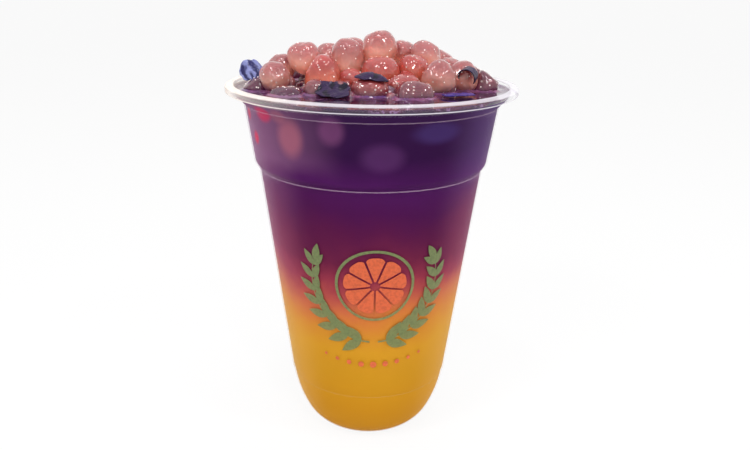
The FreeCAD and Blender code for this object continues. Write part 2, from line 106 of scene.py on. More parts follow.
class Signal:
    """One output socket of a shader, with arithmetic that adds Math nodes."""

    def __init__(self, shader: "Shader", socket: bpy.types.NodeSocket) -> None:
        """Wraps a socket of a shader."""
        self.shader = shader
        self.socket = socket

    def _math(self, operation: str, first: object, second: object = 0.0) -> "Signal":
        """Adds one Math node on two values."""
        return self.shader.node("ShaderNodeMath", {"operation": operation}, {0: first, 1: second})

    def __add__(self, other: object) -> "Signal":
        """Sum."""
        return self._math("ADD", self, other)

    def __radd__(self, other: object) -> "Signal":
        """Sum, from the right."""
        return self._math("ADD", other, self)

    def __sub__(self, other: object) -> "Signal":
        """Difference."""
        return self._math("SUBTRACT", self, other)

    def __rsub__(self, other: object) -> "Signal":
        """Difference, from the right."""
        return self._math("SUBTRACT", other, self)

    def __mul__(self, other: object) -> "Signal":
        """Product."""
        return self._math("MULTIPLY", self, other)

    def __rmul__(self, other: object) -> "Signal":
        """Product, from the right."""
        return self._math("MULTIPLY", other, self)

    def __truediv__(self, other: object) -> "Signal":
        """Quotient."""
        return self._math("DIVIDE", self, other)

    def __rtruediv__(self, other: object) -> "Signal":
        """Quotient, from the right."""
        return self._math("DIVIDE", other, self)

    def __pow__(self, other: object) -> "Signal":
        """Power."""
        return self._math("POWER", self, other)

    def __rpow__(self, other: object) -> "Signal":
        """Power, from the right."""
        return self._math("POWER", other, self)

    def larger(self, other: object) -> "Signal":
        """The larger of two values."""
        return self._math("MAXIMUM", self, other)

    def smaller(self, other: object) -> "Signal":
        """The smaller of two values."""
        return self._math("MINIMUM", self, other)

    def size(self) -> "Signal":
        """The value without its sign."""
        return self._math("ABSOLUTE", self)

    def step(self, low: float, high: float) -> "Signal":
        """A smooth step from 0 at low to 1 at high.

        Args:
            low: The value that gives 0.
            high: The value that gives 1, which may be under low.

        Returns:
            The stepped value.
        """
        return self.shader.node(
            "ShaderNodeMapRange",
            {"interpolation_type": "SMOOTHSTEP"},
            {"Value": self, "From Min": low, "From Max": high},
        )


class Shader:
    """A material, or the world, while it is being made."""

    def __init__(self, owner: bpy.types.Material | bpy.types.World) -> None:
        """Starts with an empty tree of nodes.

        Args:
            owner: The material or world that the nodes belong to.
        """
        self.owner = owner
        owner.use_nodes = True
        self.tree = owner.node_tree
        self.tree.nodes.clear()
        kind = "ShaderNodeOutputWorld" if isinstance(owner, bpy.types.World) else "ShaderNodeOutputMaterial"
        self.output = self.tree.nodes.new(kind)
        self.surface: Signal | None = None

    @classmethod
    def skin(cls, name: str, **constants: object) -> "Shader":
        """Starts a material with one Principled surface.

        Args:
            name: The material's name.
            constants: Values for the surface's sockets, with _ for each space.

        Returns:
            The shader.
        """
        shader = cls(bpy.data.materials.new(name))
        inputs = {key.replace("_", " "): value for key, value in constants.items()}
        shader.surface = shader.node("ShaderNodeBsdfPrincipled", {}, inputs)
        shader.end(shader.surface)
        return shader

    def end(self, result: Signal) -> None:
        """Shows a surface or background as the tree's result."""
        self.connect(self.output.inputs["Surface"], result)

    def connect(self, socket: bpy.types.NodeSocket, value: object) -> None:
        """Links a signal to a socket, or sets the socket to a plain value.

        Args:
            socket: The socket.
            value: A signal, or a value that the socket takes.
        """
        if isinstance(value, Signal):
            self.tree.links.new(value.socket, socket)
        else:
            socket.default_value = value

    def feed(self, name: str, value: object) -> None:
        """Gives a value or signal to one of the Principled surface's sockets."""
        self.connect(self.surface.socket.node.inputs[name], value)

    def node(
        self, kind: str, settings: dict | None = None, inputs: dict | None = None, output: int | str = 0
    ) -> Signal:
        """Adds a node.

        Args:
            kind: The node's type.
            settings: Its properties, set first. stops holds a colour ramp's positions and colours.
            inputs: Values or signals of its sockets, by name or number.
            output: The output socket to return.

        Returns:
            The node's output.
        """
        node = self.tree.nodes.new(kind)
        for key, value in (settings or {}).items():
            if key == "stops":
                ramp = node.color_ramp
                while len(ramp.elements) < len(value):
                    ramp.elements.new(0.5)
                for element, (place, colour) in zip(ramp.elements, value):
                    element.position = place
                    element.color = colour
            else:
                setattr(node, key, value)
        for key, value in (inputs or {}).items():
            self.connect(node.inputs[key], value)
        return Signal(self, node.outputs[output])

    def seen(self) -> Signal:
        """Tells what is seen from light that falls on things.

        Returns:
            1 for what the camera sees, straight, in a gloss or through glass, and 0 for the rest.
        """
        camera = self.node("ShaderNodeLightPath", output="Is Camera Ray")
        glossy = self.node("ShaderNodeLightPath", output="Is Glossy Ray")
        through = self.node("ShaderNodeLightPath", output="Is Transmission Ray")
        return (camera + glossy + through).smaller(1.0)

    def attribute(self, name: str) -> Signal:
        """A value that the mesh's points carry."""
        return self.node("ShaderNodeAttribute", {"attribute_name": name}, output="Fac")

    def place(self) -> Signal:
        """The point being shaded, in metres in the row's frame."""
        return self.node("ShaderNodeTexCoord", output="Object")

    def axis(self, vector: Signal, axis: str) -> Signal:
        """One part of a vector, X, Y or Z."""
        return self.node("ShaderNodeSeparateXYZ", {}, {0: vector}, axis)

    def height(self, place: Signal) -> Signal:
        """How high a place is, in mm."""
        return self.axis(place, "Z") / MM

    def cloud(self, vector: Signal, size: float, detail: float = 2.0, rough: float = 0.5) -> Signal:
        """Soft noise from 0 to 1.

        Args:
            vector: Where it is read.
            size: The size of its blotches, in metres.
            detail: How many finer layers it has.
            rough: How strong the finer layers are.

        Returns:
            The noise.
        """
        return self.node(
            "ShaderNodeTexNoise", {},
            {"Vector": vector, "Scale": 1.0 / size, "Detail": detail, "Roughness": rough},
        )

    def blend(self, share: object, first: object, second: object, mode: str = "MIX") -> Signal:
        """Mixes two colours.

        Args:
            share: How much of the second shows, from 0 to 1.
            first: The first colour.
            second: The second colour.
            mode: The blend mode.

        Returns:
            The mixed colour.
        """
        return self.node(
            "ShaderNodeMix", {"data_type": "RGBA", "blend_type": mode}, {0: share, 6: first, 7: second}, 2
        )

    def bump(self, height: Signal, depth: float) -> None:
        """Gives the surface relief of this depth, in metres."""
        normal = self.node("ShaderNodeBump", {}, {"Height": height, "Distance": depth, "Strength": 1.0})
        self.feed("Normal", normal)

    def spot(self, place: Signal, centre: Vector, reach: Vector, soft: float) -> Signal:
        """A soft-edged egg-shaped spot.

        Args:
            place: The point being shaded.
            centre: The spot's middle, in metres.
            reach: Its half sizes, in metres.
            soft: How far its edge fades outwards, as a share of its size.

        Returns:
            1 inside the spot and 0 outside it.
        """
        away = self.node("ShaderNodeVectorMath", {"operation": "SUBTRACT"}, {0: place, 1: centre})
        scaled = self.node("ShaderNodeVectorMath", {"operation": "DIVIDE"}, {0: away, 1: reach})
        length = self.node("ShaderNodeVectorMath", {"operation": "LENGTH"}, {0: scaled}, "Value")
        return length.step(1.0 + soft, 1.0 - soft)


# ----------------------------------------------------------------------------------------------------
# Mesh tools
# ----------------------------------------------------------------------------------------------------

def piece_from(
    name: str,
    vertices: np.ndarray | Sequence[Sequence[float]],
    faces: Sequence[Sequence[int]],
    materials: Sequence[bpy.types.Material],
    smooth: bool = True,
) -> bpy.types.Object:
    """Makes a mesh object from its points and faces.

    Args:
        name: The piece's name.
        vertices: Its points, in metres.
        faces: Its faces, as numbers of points.
        materials: Its materials, in slot order.
        smooth: Whether its faces are shaded smooth.

    Returns:
        The object, linked to the scene.
    """
    mesh = bpy.data.meshes.new(name)
    mesh.from_pydata([tuple(map(float, point)) for point in vertices], [], [tuple(face) for face in faces])
    mesh.validate()
    mesh.update()
    if smooth:
        mesh.shade_smooth()
    for material in materials:
        mesh.materials.append(material)
    obj = bpy.data.objects.new(name, mesh)
    bpy.context.scene.collection.objects.link(obj)
    return obj


def add_piece(obj: bpy.types.Object, slot: str, *nodes: str) -> bpy.types.Object:
    """Puts a finished piece on the body and says what it stands for.

    Args:
        obj: The piece.
        slot: Not used.
        nodes: The solids that it stands for, if any.

    Returns:
        The same piece.
    """
    if nodes:
        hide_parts(*nodes)
    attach(obj, BODY)
    LOG.info("%s: %d faces, for %s", obj.name, len(obj.data.polygons), ", ".join(nodes) or "itself")
    return obj


def ring_faces(rings: int, around: int) -> list[tuple[int, ...]]:
    """Faces between rings of points that close on themselves.

    Args:
        rings: How many rings there are.
        around: How many points each has.

    Returns:
        The faces, facing outwards when the rings climb.
    """
    return [
        (ring + step, ring + (step + 1) % around, ring + (step + 1) % around + around, ring + step + around)
        for ring in range(0, (rings - 1) * around, around) for step in range(around)
    ]


def grid_faces(columns: int, rows: int, first: int = 0) -> list[tuple[int, ...]]:
    """Faces of a sheet of points laid in rows.

    Args:
        columns: How many faces it is wide.
        rows: How many faces it is long.
        first: The number of its first point.

    Returns:
        The faces.
    """
    row_length = columns + 1
    corners = [first + row * row_length + column for row in range(rows) for column in range(columns)]
    return [(corner, corner + 1, corner + row_length + 1, corner + row_length) for corner in corners]


def repeated(faces: Sequence[tuple[int, ...]], count: int, size: int) -> list[tuple[int, ...]]:
    """Faces of many shapes that are all joined up alike.

    Args:
        faces: One shape's faces.
        count: How many shapes there are.
        size: How many points each has.

    Returns:
        The faces of them all.
    """
    return [tuple(size * number + corner for corner in face) for number in range(count) for face in faces]


def scatter(
    name: str, clouds: Sequence[np.ndarray], faces: Sequence[tuple[int, ...]], finish: bpy.types.Material
) -> bpy.types.Object:
    """Makes one piece of many small closed shapes.

    Args:
        name: The piece's name.
        clouds: Each shape's points, in mm, as many in each.
        faces: The faces that every shape has.
        finish: The piece's material.

    Returns:
        The object.
    """
    return piece_from(name, np.vstack(clouds) * MM, repeated(faces, len(clouds), len(clouds[0])), [finish])


def paint(obj: bpy.types.Object, **layers: Sequence[float]) -> None:
    """Gives a mesh's points numbers that its finish reads.

    Args:
        obj: The piece.
        layers: One number a point, by the name that the finish reads them by.
    """
    for label, values in layers.items():
        layer = obj.data.attributes.new(label, "FLOAT", "POINT")
        layer.data.foreach_set("value", np.ascontiguousarray(values, dtype=np.float32))


def turned(profile: Profile, around: int) -> tuple[np.ndarray, list[tuple[int, ...]]]:
    """Turns an open profile about the cup's axis.

    Args:
        profile: Points as distance from the axis and height, in metres. Ends on the axis are closed.
        around: How many points each ring has.

    Returns:
        The points and the faces.
    """
    angles = np.linspace(0.0, 2.0 * math.pi, around, endpoint=False)
    rings = [(out, up) for out, up in profile if out > ON_AXIS]
    points = np.concatenate([
        np.column_stack((out * np.cos(angles), out * np.sin(angles), np.full(around, up)))
        for out, up in rings
    ])
    faces = ring_faces(len(rings), around)
    if profile[0][0] <= ON_AXIS:
        points = np.vstack((points, (0.0, 0.0, profile[0][1])))
        hub = len(points) - 1
        faces += [(hub, (step + 1) % around, step) for step in range(around)]
    if profile[-1][0] <= ON_AXIS:
        points = np.vstack((points, (0.0, 0.0, profile[-1][1])))
        hub = len(points) - 1
        last = (len(rings) - 1) * around
        faces += [(hub, last + step, last + (step + 1) % around) for step in range(around)]
    return points, faces


def line_points(start: Point, end: Point, first: float, last: float, count: int) -> Profile:
    """Points along the straight line between two points.

    Args:
        start: The line's start.
        end: Its end.
        first: The first point's share of the way.
        last: The last point's share of the way.
        count: How many points there are.

    Returns:
        The points.
    """
    return [
        (start[0] + (end[0] - start[0]) * share, start[1] + (end[1] - start[1]) * share)
        for share in np.linspace(first, last, count)
    ]


def arc_points(start: Point, end: Point, radius: float, turns_left: bool, count: int) -> Profile:
    """Points along the shorter arc between two points, without its last one.

    Args:
        start: The arc's first point.
        end: Its last point.
        radius: Its radius.
        turns_left: Whether it turns left on its way.
        count: How many steps it is cut into.

    Returns:
        The points.
    """
    begin, finish = Vector(start), Vector(end)
    chord = finish - begin
    reach = math.sqrt(max(radius * radius - chord.length_squared / 4.0, 0.0))
    side = Vector((-chord.y, chord.x)).normalized() * (reach if turns_left else -reach)
    centre = (begin + finish) / 2.0 + side
    first = math.atan2(*(begin - centre).yx)
    sweep = 2.0 * math.asin(min(1.0, chord.length / (2.0 * radius)))
    sweep = sweep if turns_left else -sweep
    return [
        (centre.x + radius * math.cos(first + sweep * step / count),
         centre.y + radius * math.sin(first + sweep * step / count))
        for step in range(count)
    ]


def ico_ball(level: int) -> tuple[np.ndarray, list[tuple[int, ...]]]:
    """Makes an evenly divided ball.

    Args:
        level: How often its triangles are divided.

    Returns:
        Its points, on a ball of radius 1, and its faces.
    """
    ball = bmesh.new()
    bmesh.ops.create_icosphere(ball, subdivisions=level, radius=1.0)
    points = np.array([tuple(vertex.co) for vertex in ball.verts])
    faces = [tuple(vertex.index for vertex in face.verts) for face in ball.faces]
    ball.free()
    return points, faces


def ripple(point: Sequence[float], size: float, seed: float = 0.0) -> float:
    """Smooth noise of about -1 to 1, with waves of this size, in metres."""
    return noise.noise(Vector(point) / size + Vector((seed, -seed, 0.37 * seed)))


# ----------------------------------------------------------------------------------------------------
# Finishes
# ----------------------------------------------------------------------------------------------------

# Where the drink's scale of colours ends, in mm, and its display colour at each height
TOP_COLOUR = 120.0
DRINK_COLOURS = (
    (3, (190, 132, 28)),
    (14, (188, 130, 24)),
    (28, (188, 134, 28)),
    (38, (194, 138, 34)),
    (45, (194, 128, 42)),
    (51, (192, 112, 52)),
    (56, (186, 98, 62)),
    (61, (164, 72, 66)),
    (66, (132, 46, 64)),
    (72, (96, 28, 58)),
    (80, (78, 18, 60)),
    (88, (66, 14, 66)),
    (98, (66, 18, 76)),
    (108, (42, 11, 54)),
    (119, (48, 20, 62)),
)


@dataclass(frozen=True)
class LayeredDrink:
    """The drink seen through the cup's wall: its colours by height, wavy where two of them meet.

    The drift moves the colours up and down everywhere, in mm, and the wisps move them more where they meet.
    """

    name: str = "layered_drink"
    drift: float = 16.0
    wisps: float = 4.0

    def colour(self, shader: Shader, place: Signal) -> Signal:
        """The drink's colour at a point, with lumps showing dimly through it and a painted side reflection.

        Args:
            shader: The material being made.
            place: The point being shaded.

        Returns:
            The colour.
        """
        height = shader.height(place)
        drift = shader.cloud(place, 0.030, 1.5) - 0.5
        wisps = shader.cloud(place, 0.009, 3.0, 0.6) - 0.5
        meeting = shader.node("ShaderNodeMath", {"operation": "COMPARE"}, {0: height, 1: 66.0, 2: 26.0})
        height = height + drift * self.drift + wisps * (meeting * self.wisps + 3.0)
        stops = [(up / TOP_COLOUR, tone(*colour)) for up, colour in DRINK_COLOURS]
        base = shader.node("ShaderNodeValToRGB", {"stops": stops}, {0: height / TOP_COLOUR})
        across = shader.axis(place, "X") / (height * 0.000145 + 0.0249)
        # Painted reflection: towards both sides, the left one most, the drink is blended to paler colours,
        # warm low down and lilac-grey at the top, standing in for light the cup's wall reflects.
        cold_side_sheen = shader.blend(across.step(-0.2, 0.4), tone(158, 106, 144), tone(122, 90, 152))
        painted_side_sheen = shader.blend(height.step(44.0, 70.0), tone(230, 176, 92), tone(184, 98, 130))
        painted_side_sheen = shader.blend(height.step(82.0, 104.0), painted_side_sheen, cold_side_sheen)
        # The masks below set how strongly the painted reflection pales the left side and the right side.
        left = across.step(-0.48, -1.0) * 0.42 + across.step(-0.15, -0.60) * height.step(97.0, 104.0) * 0.24
        base = shader.blend(left + across.step(0.50, 1.0) * 0.34, base, painted_side_sheen)
        for centre, reach, colour, share in self.shadows():
            spot = shader.spot(place, Vector(centre) * MM, Vector(reach) * MM, 0.45)
            base = shader.blend(spot * share, base, tone(*colour))
        return base

    @staticmethod
    def shadows() -> tuple[tuple[Triple, Triple, Triple, float], ...]:
        """Lumps sunk behind the wall, and crimson stains on it.

        Returns:
            The middle and half sizes of each, in mm, its display colour and its strength.
        """
        apricot, rose, violet, crimson = (160, 92, 108), (112, 62, 104), (92, 50, 102), (204, 40, 78)
        return (
            ((-23.8, -33.7, 110.0), (4.0, 6.0, 5.6), apricot, 0.62),
            ((3.7, -40.2, 106.0), (6.0, 6.0, 4.0), violet, 0.42),
            ((-11.2, -39.9, 113.6), (3.6, 6.0, 4.0), rose, 0.62),
            ((19.0, -35.0, 113.0), (7.0, 8.0, 3.0), (70, 52, 112), 0.45),
            ((29.0, 29.0, 108.5), (7.0, 7.0, 5.5), rose, 0.45),
            ((-12.0, 39.2, 109.0), (6.5, 7.0, 5.0), violet, 0.55),
            ((-32.2, -26.5, 116.0), (3.0, 5.0, 2.4), crimson, 0.62),
            ((-27.0, -31.0, 116.4), (2.4, 5.0, 2.2), apricot, 0.45),
            ((-38.0, -16.8, 114.2), (0.8, 4.0, 2.0), crimson, 0.80),
            ((-35.5, -19.3, 107.2), (1.0, 3.4, 2.0), crimson, 0.85),
        )

    def make(self) -> bpy.types.Material:
        """Makes the material.

        Returns:
            The material.
        """
        shader = Shader.skin(self.name, Roughness=0.55, Specular_IOR_Level=0.04)
        place = shader.place()
        shader.feed("Base Color", self.colour(shader, place))
        return shader.owner


@dataclass(frozen=True)
class WetSurface:
    """The drink's open surface: almost black violet in the pools, greyer where it climbs the ice."""

    name: str = "drink_surface"

    def make(self) -> bpy.types.Material:
        """Makes the material.

        Returns:
            The material.
        """
        shader = Shader.skin(
            self.name, Roughness=0.08, Specular_IOR_Level=0.2,
            Coat_Weight=0.8, Coat_Roughness=0.03, Coat_IOR=1.35,
        )
        place = shader.place()
        film = shader.attribute("film")
        mottle = shader.cloud(place, 0.006, 3.0)
        pool = shader.blend(mottle.step(0.35, 0.7), tone(30, 8, 40), tone(72, 24, 56))
        skin = shader.blend(mottle.step(0.3, 0.7), tone(96, 62, 112), tone(140, 84, 118))
        swept = shader.cloud(place, 0.011, 4.0, 0.6)
        streak = (swept - 0.52).size().step(0.022, 0.004)
        pool = shader.blend(streak * mottle.step(0.40, 0.60) * 0.7, pool, tone(150, 116, 164))
        shader.feed("Base Color", shader.blend(film, pool, skin))
        shader.bump(shader.cloud(place, 0.004, 2.0), 0.0003)
        return shader.owner


@dataclass(frozen=True)
class FrostedPlastic:
    """See-through milky polypropylene, thickest-looking at the rim, with painted highlights and reflection.
    """

    name: str = "frosted_cup"
    clear_under: float = 0.03
    rim_veil: float = 0.03

    @staticmethod
    def painted_highlight_lines() -> tuple[Triple, ...]:
        """Painted highlight lines along the edges of the wall, where they would catch the light.

        Returns:
            The height and half width of each, in mm, and its strength.
        """
        return ((122.1, 0.62, 0.50), (119.85, 0.30, 0.92), (116.4, 0.26, 0.24), (95.4, 0.27, 0.32),
                (21.1, 0.30, 0.14))

    def make(self) -> bpy.types.Material:
        """Makes the material.

        Returns:
            The material.
        """
        shader = Shader.skin(self.name, Roughness=0.30, IOR=1.49, Specular_IOR_Level=0.35)
        place = shader.place()
        height = shader.height(place)
        edge = shader.node("ShaderNodeLayerWeight", {}, {"Blend": 0.30}, "Facing")
        rim = height.step(117.6, 119.5)
        # Painted reflection: the left side gets more milky alpha at its edge and on the rim.
        left = shader.axis(place, "X").step(-0.010, -0.040)
        veil = edge ** 3.0 * (left * 0.30 + 0.30)
        foot = height.step(4.0, 0.5) * 0.12
        # Painted highlights: thin bands of higher alpha in the pale skin colour along the rim, the neck, the
        # ledge and the low step.
        for up, width, share in self.painted_highlight_lines():
            veil = veil.larger(((height - up) / width).size().step(1.0, 0.4) * share)
        veil = veil + foot + rim * (left * 0.22 + self.rim_veil + self.clear_under)
        shader.feed("Alpha", (veil - self.clear_under).larger(0.0).smaller(0.92))
        skin = shader.blend(height.step(50.0, 76.0), tone(248, 214, 136), tone(226, 190, 220))
        # Painted light on the rim: lighter and warmer on the left side, greyer on the right.
        lip = shader.blend(left, tone(226, 222, 230), tone(250, 238, 228))
        shader.feed("Base Color", shader.blend(height.step(116.8, 119.0), skin, lip))
        shader.bump(shader.cloud(place, 0.003, 2.0), 0.00003)
        return shader.owner


@dataclass(frozen=True)
class MeltedIce:
    """Wet rounded ice stained by the drink: peach in the heap's middle, violet by the rim."""

    name: str = "melted_ice"

    def make(self) -> bpy.types.Material:
        """Makes the material.

        Returns:
            The material.
        """
        shader = Shader.skin(
            self.name, Roughness=0.14, Coat_Weight=1.0, Coat_Roughness=0.03, IOR=1.33,
            Coat_Tint=tone(255, 236, 234), Transmission_Weight=0.50,
            Subsurface_Weight=0.5, Subsurface_Scale=0.003, Subsurface_Radius=(1.0, 0.66, 0.6),
        )
        place = shader.place()
        up = shader.attribute("up")
        tint = shader.attribute("tint")
        height = shader.height(place)
        swirl = shader.cloud(place, 0.005, 3.0, 0.55)
        # Painted light: glow runs from 0 at each lump's top to 1 low down, so each colour below goes from a
        # shaded, dustier top to a painted bright glow at the bottom.
        glow = (up + (swirl - 0.5) * 0.5).step(0.70, -0.60)
        peach = shader.blend(glow, tone(194, 126, 130), tone(253, 206, 182))
        amber = shader.blend(glow, tone(204, 98, 96), tone(248, 146, 108))
        violet = shader.blend(glow, tone(106, 44, 80), tone(166, 76, 100))
        warm = shader.blend(tint.step(0.35, 0.75), peach, amber)
        cool = shader.attribute("cool") + (swirl - 0.5) * 0.5
        base = shader.blend(cool.step(0.15, 0.9), warm, violet)
        soaked = (height + (swirl - 0.5) * 3.0).step(124.0, 120.4)
        base = shader.blend(soaked * 0.85, base, tone(92, 44, 92))
        cracks = shader.cloud(place, 0.0022, 4.0, 0.65).step(0.56, 0.72)
        base = shader.blend(cracks * 0.28, base, tone(250, 214, 200))
        # Painted glints: tiny near-white specks over the ice, partly air bubbles and partly painted
        # highlights.
        cells = {"Vector": place, "Scale": 620.0}
        near = shader.node("ShaderNodeTexVoronoi", {}, cells, "Distance")
        chosen = shader.axis(shader.node("ShaderNodeTexVoronoi", {}, cells, "Color"), "X")
        bubble_and_glint = near.step(0.26, 0.12) * chosen.step(0.66, 0.70)
        base = shader.blend(bubble_and_glint, base, tone(255, 250, 246))
        shader.feed("Base Color", base)
        shader.bump(shader.cloud(place, 0.0024, 2.0), 0.00022)
        return shader.owner


@dataclass(frozen=True)
class PackedIce:
    """The dark rose ice and drink packed under the lumps."""

    name: str = "packed_ice"

    def make(self) -> bpy.types.Material:
        """Makes the material.

        Returns:
            The material.
        """
        shader = Shader.skin(
            self.name, Roughness=0.2, Coat_Weight=0.9, Coat_Roughness=0.06,
            Subsurface_Weight=0.3, Subsurface_Scale=0.002, Subsurface_Radius=(1.0, 0.4, 0.4),
        )
        place = shader.place()
        height = shader.height(place)
        swirl = shader.cloud(place, 0.004, 3.0)
        base = shader.blend(swirl.step(0.35, 0.65), tone(132, 62, 82), tone(186, 98, 86))
        base = shader.blend((height + swirl * 4.0).step(127.0, 121.0), base, tone(70, 32, 74))
        shader.feed("Base Color", base)
        shader.bump(shader.cloud(place, 0.002, 2.0), 0.0002)
        return shader.owner


@dataclass(frozen=True)
class WetPetal:
    """A soaked petal: blue-black, with a painted lavender sheen on its raised folds."""

    name: str
    body: Colour
    fold_sheen: Colour
    fold_sheen_share: float

    def make(self) -> bpy.types.Material:
        """Makes the material.

        Returns:
            The material.
        """
        shader = Shader.skin(
            self.name, Roughness=0.30, Specular_IOR_Level=0.1, Coat_Weight=0.35, Coat_Roughness=0.05,
        )
        place = shader.place()
        fold = shader.attribute("fold")
        mottle = shader.cloud(place, 0.0016, 3.0)
        veins = shader.cloud(place, 0.0007, 2.0)
        # Painted sheen: the raised folds are blended toward a paler lavender, standing in for light caught on
        # them.
        lit = (fold + (mottle - 0.5) * 0.9).step(0.45, 0.95) * self.fold_sheen_share
        base = shader.blend(lit, self.body, self.fold_sheen)
        base = shader.blend(veins.step(0.6, 0.8) * 0.25, base, tone(24, 12, 40))
        shader.feed("Base Color", base)
        shader.bump(veins, 0.00012)
        return shader.owner


@dataclass(frozen=True)
class PrintInk:
    """Ink printed on the outside of the cup, thin enough for the drink to darken it."""

    name: str
    colour: Colour
    cover: float

    def make(self) -> bpy.types.Material:
        """Makes the material.

        Returns:
            The material.
        """
        shader = Shader.skin(self.name, Roughness=0.38, Alpha=self.cover)
        place = shader.place()
        wear = shader.cloud(place, 0.0009, 3.0).step(0.30, 0.62)
        worn = tuple(0.78 * part for part in self.colour)
        shader.feed("Base Color", shader.blend(wear, worn, self.colour))
        return shader.owner


@dataclass(frozen=True)
class GlowingGlintBead:
    """Tiny beads of water and air on the ice, near white and faintly glowing as painted glints."""

    name: str = "glowing_glint_bead"

    def make(self) -> bpy.types.Material:
        """Makes the material.

        Returns:
            The material.
        """
        # Painted light: a faint near-white glow, though the beads are no lamps, makes them read as glints.
        shader = Shader.skin(
            self.name, Roughness=0.12, Coat_Weight=1.0, Coat_Roughness=0.02,
            Emission_Color=tone(255, 244, 240), Emission_Strength=0.35,
        )
        mottle = shader.cloud(shader.place(), 0.01)
        shader.feed("Base Color", shader.blend(mottle, tone(255, 250, 248), tone(246, 226, 224)))
        return shader.owner


# ----------------------------------------------------------------------------------------------------
# The cup
# ----------------------------------------------------------------------------------------------------

@dataclass
class Cup:
    """The cup: a thin round-heeled shell with a ledge, a thin ring and a rolled rim. Sizes in mm.

    The heel is two arcs. They meet at shares of the way out and up, and their radii are counted in chords.
    """

    height: float
    rim_radius: float
    rim_width: float = 2.9
    rim_depth: float = 2.6
    rim_round: float = 1.1
    wall: float = 0.8
    neck_inset: float = 5.7
    neck_drop: float = 5.2
    bead_depth: float = 1.0
    band_taper: float = 2.7
    shoulder_drop: float = 23.7
    ledge_step: float = 1.6
    ledge_depth: float = 2.7
    low_radius: float = 28.0
    low_height: float = 21.5
    low_step: float = 0.35
    low_step_depth: float = 0.8
    foot_radius: float = 16.2
    foot_width: float = 1.8
    base_rise: float = 2.4
    base_slant: float = 1.0
    drink_drop: float = 1.8
    arcs_meet: Point = (0.62, 0.314)
    arc_radii: Point = (1.41, 2.97)
    around: int = 224

    @property
    def neck_radius(self) -> float:
        """Outside of the wall below the rim."""
        return self.rim_radius - self.neck_inset

    @property
    def mouth_radius(self) -> float:
        """Inside of the rim."""
        return self.rim_radius - self.rim_width

    @property
    def level(self) -> float:
        """Height of the drink's surface."""
        return self.height - self.drink_drop

    def side(self, inset: float) -> Profile:
        """The wall's profile from the foot to the neck.

        Args:
            inset: How far inside the outer skin it runs.

        Returns:
            Points as distance from the axis and height.
        """
        heel_out = self.low_radius - self.low_step
        heel_up = self.low_height - self.low_step_depth
        meet = (self.foot_radius + (heel_out - self.foot_radius) * self.arcs_meet[0] - inset * 0.89,
                heel_up * self.arcs_meet[1] + inset * 0.45)
        toe = (self.foot_radius - inset * 0.25, self.wall / 4.0 + inset * 0.75)
        heel = (heel_out - inset, heel_up)
        shoulder = (self.neck_radius - self.band_taper - inset, self.height - self.shoulder_drop)
        ledge = (shoulder[0] - self.ledge_step, shoulder[1] - self.ledge_depth)
        neck_up = self.height - self.neck_drop
        points = arc_points(toe, meet, math.dist(toe, meet) * self.arc_radii[0], True, 14)
        points += arc_points(meet, heel, math.dist(meet, heel) * self.arc_radii[1], True, 16)
        points += [heel, (self.low_radius - inset, self.low_height)]
        points += line_points(points[-1], ledge, 0.04, 0.96, 24)
        points += arc_points(ledge, shoulder, math.dist(ledge, shoulder), True, 8)
        bead = (self.neck_radius - 0.13 * self.bead_depth - inset, neck_up - self.bead_depth)
        return points + [shoulder] + line_points(shoulder, bead, 0.06, 1.0, 10)

    def outer_profile(self) -> Profile:
        """The outer skin.

        Returns:
            Points from the middle of the base to the mouth.
        """
        inner_foot = self.foot_radius - self.foot_width
        under = self.height - self.rim_depth
        neck_up = self.height - self.neck_drop
        points = [
            (0.0, self.base_rise), (inner_foot - self.base_slant - 0.5, self.base_rise),
            (inner_foot - self.base_slant, self.base_rise - 0.08), (inner_foot - 0.1, 0.10),
            (inner_foot + 0.15, 0.0), (self.foot_radius - self.foot_width / 4.0, 0.0),
        ]
        points += self.side(0.0)
        bead_bottom = points.pop()
        points += arc_points(bead_bottom, (self.neck_radius, neck_up), self.bead_depth * 0.8, True, 6)
        points += [(self.neck_radius, neck_up), (self.neck_radius + 0.35, neck_up + 0.8)]
        lip = self.mouth_radius + self.wall
        points += [(lip - 0.6, under - 0.55), (lip, under)]
        roll = self.rim_round
        out, up = self.rim_radius, self.height
        points += arc_points((out - roll, under), (out, under + roll), roll, True, 8)
        points += arc_points((out, up - roll), (out - roll, up), roll, True, 8)
        points += [(out - roll, up)]
        out, roll = self.mouth_radius, self.wall / 2.0
        return points + arc_points((out + roll, up), (out, up - roll), roll, True, 6)

    def inner_profile(self) -> Profile:
        """The inner skin.

        Returns:
            Points from the mouth down to the middle of the floor.
        """
        inner_foot = self.foot_radius - self.foot_width
        floor = self.base_rise + self.wall
        points = [
            (0.0, floor), (inner_foot - self.base_slant + self.wall / 3.0, floor),
            (inner_foot + self.wall / 3.0, self.wall),
        ]
        points += self.side(self.wall)
        points += [(self.neck_radius - self.wall, self.height - self.neck_drop),
                   (self.mouth_radius, self.height - self.rim_depth / 2.0)]
        return points[::-1]

    def radius_at(self, up: float, inset: float = 0.0) -> float:
        """The outer skin's distance from the axis at a height.

        Args:
            up: The height.
            inset: How much is taken off.

        Returns:
            The distance, less the inset.
        """
        profile = self.side(0.0) + [(self.neck_radius, self.height - self.neck_drop),
                                    (self.mouth_radius + self.wall, self.height - self.rim_depth)]
        outs, ups = zip(*profile)
        return float(np.interp(up, ups, outs)) - inset

    def build(self, finish: FrostedPlastic) -> bpy.types.Object:
        """Makes the cup.

        Args:
            finish: Its plastic.

        Returns:
            The piece.
        """
        profile = [(out * MM, up * MM) for out, up in self.outer_profile() + self.inner_profile()]
        points, faces = turned(profile, self.around)
        return add_piece(piece_from("frosted_cup", points, faces, [finish.make()]), "cup_plastic", "cup")


# ----------------------------------------------------------------------------------------------------
# The drink
# ----------------------------------------------------------------------------------------------------

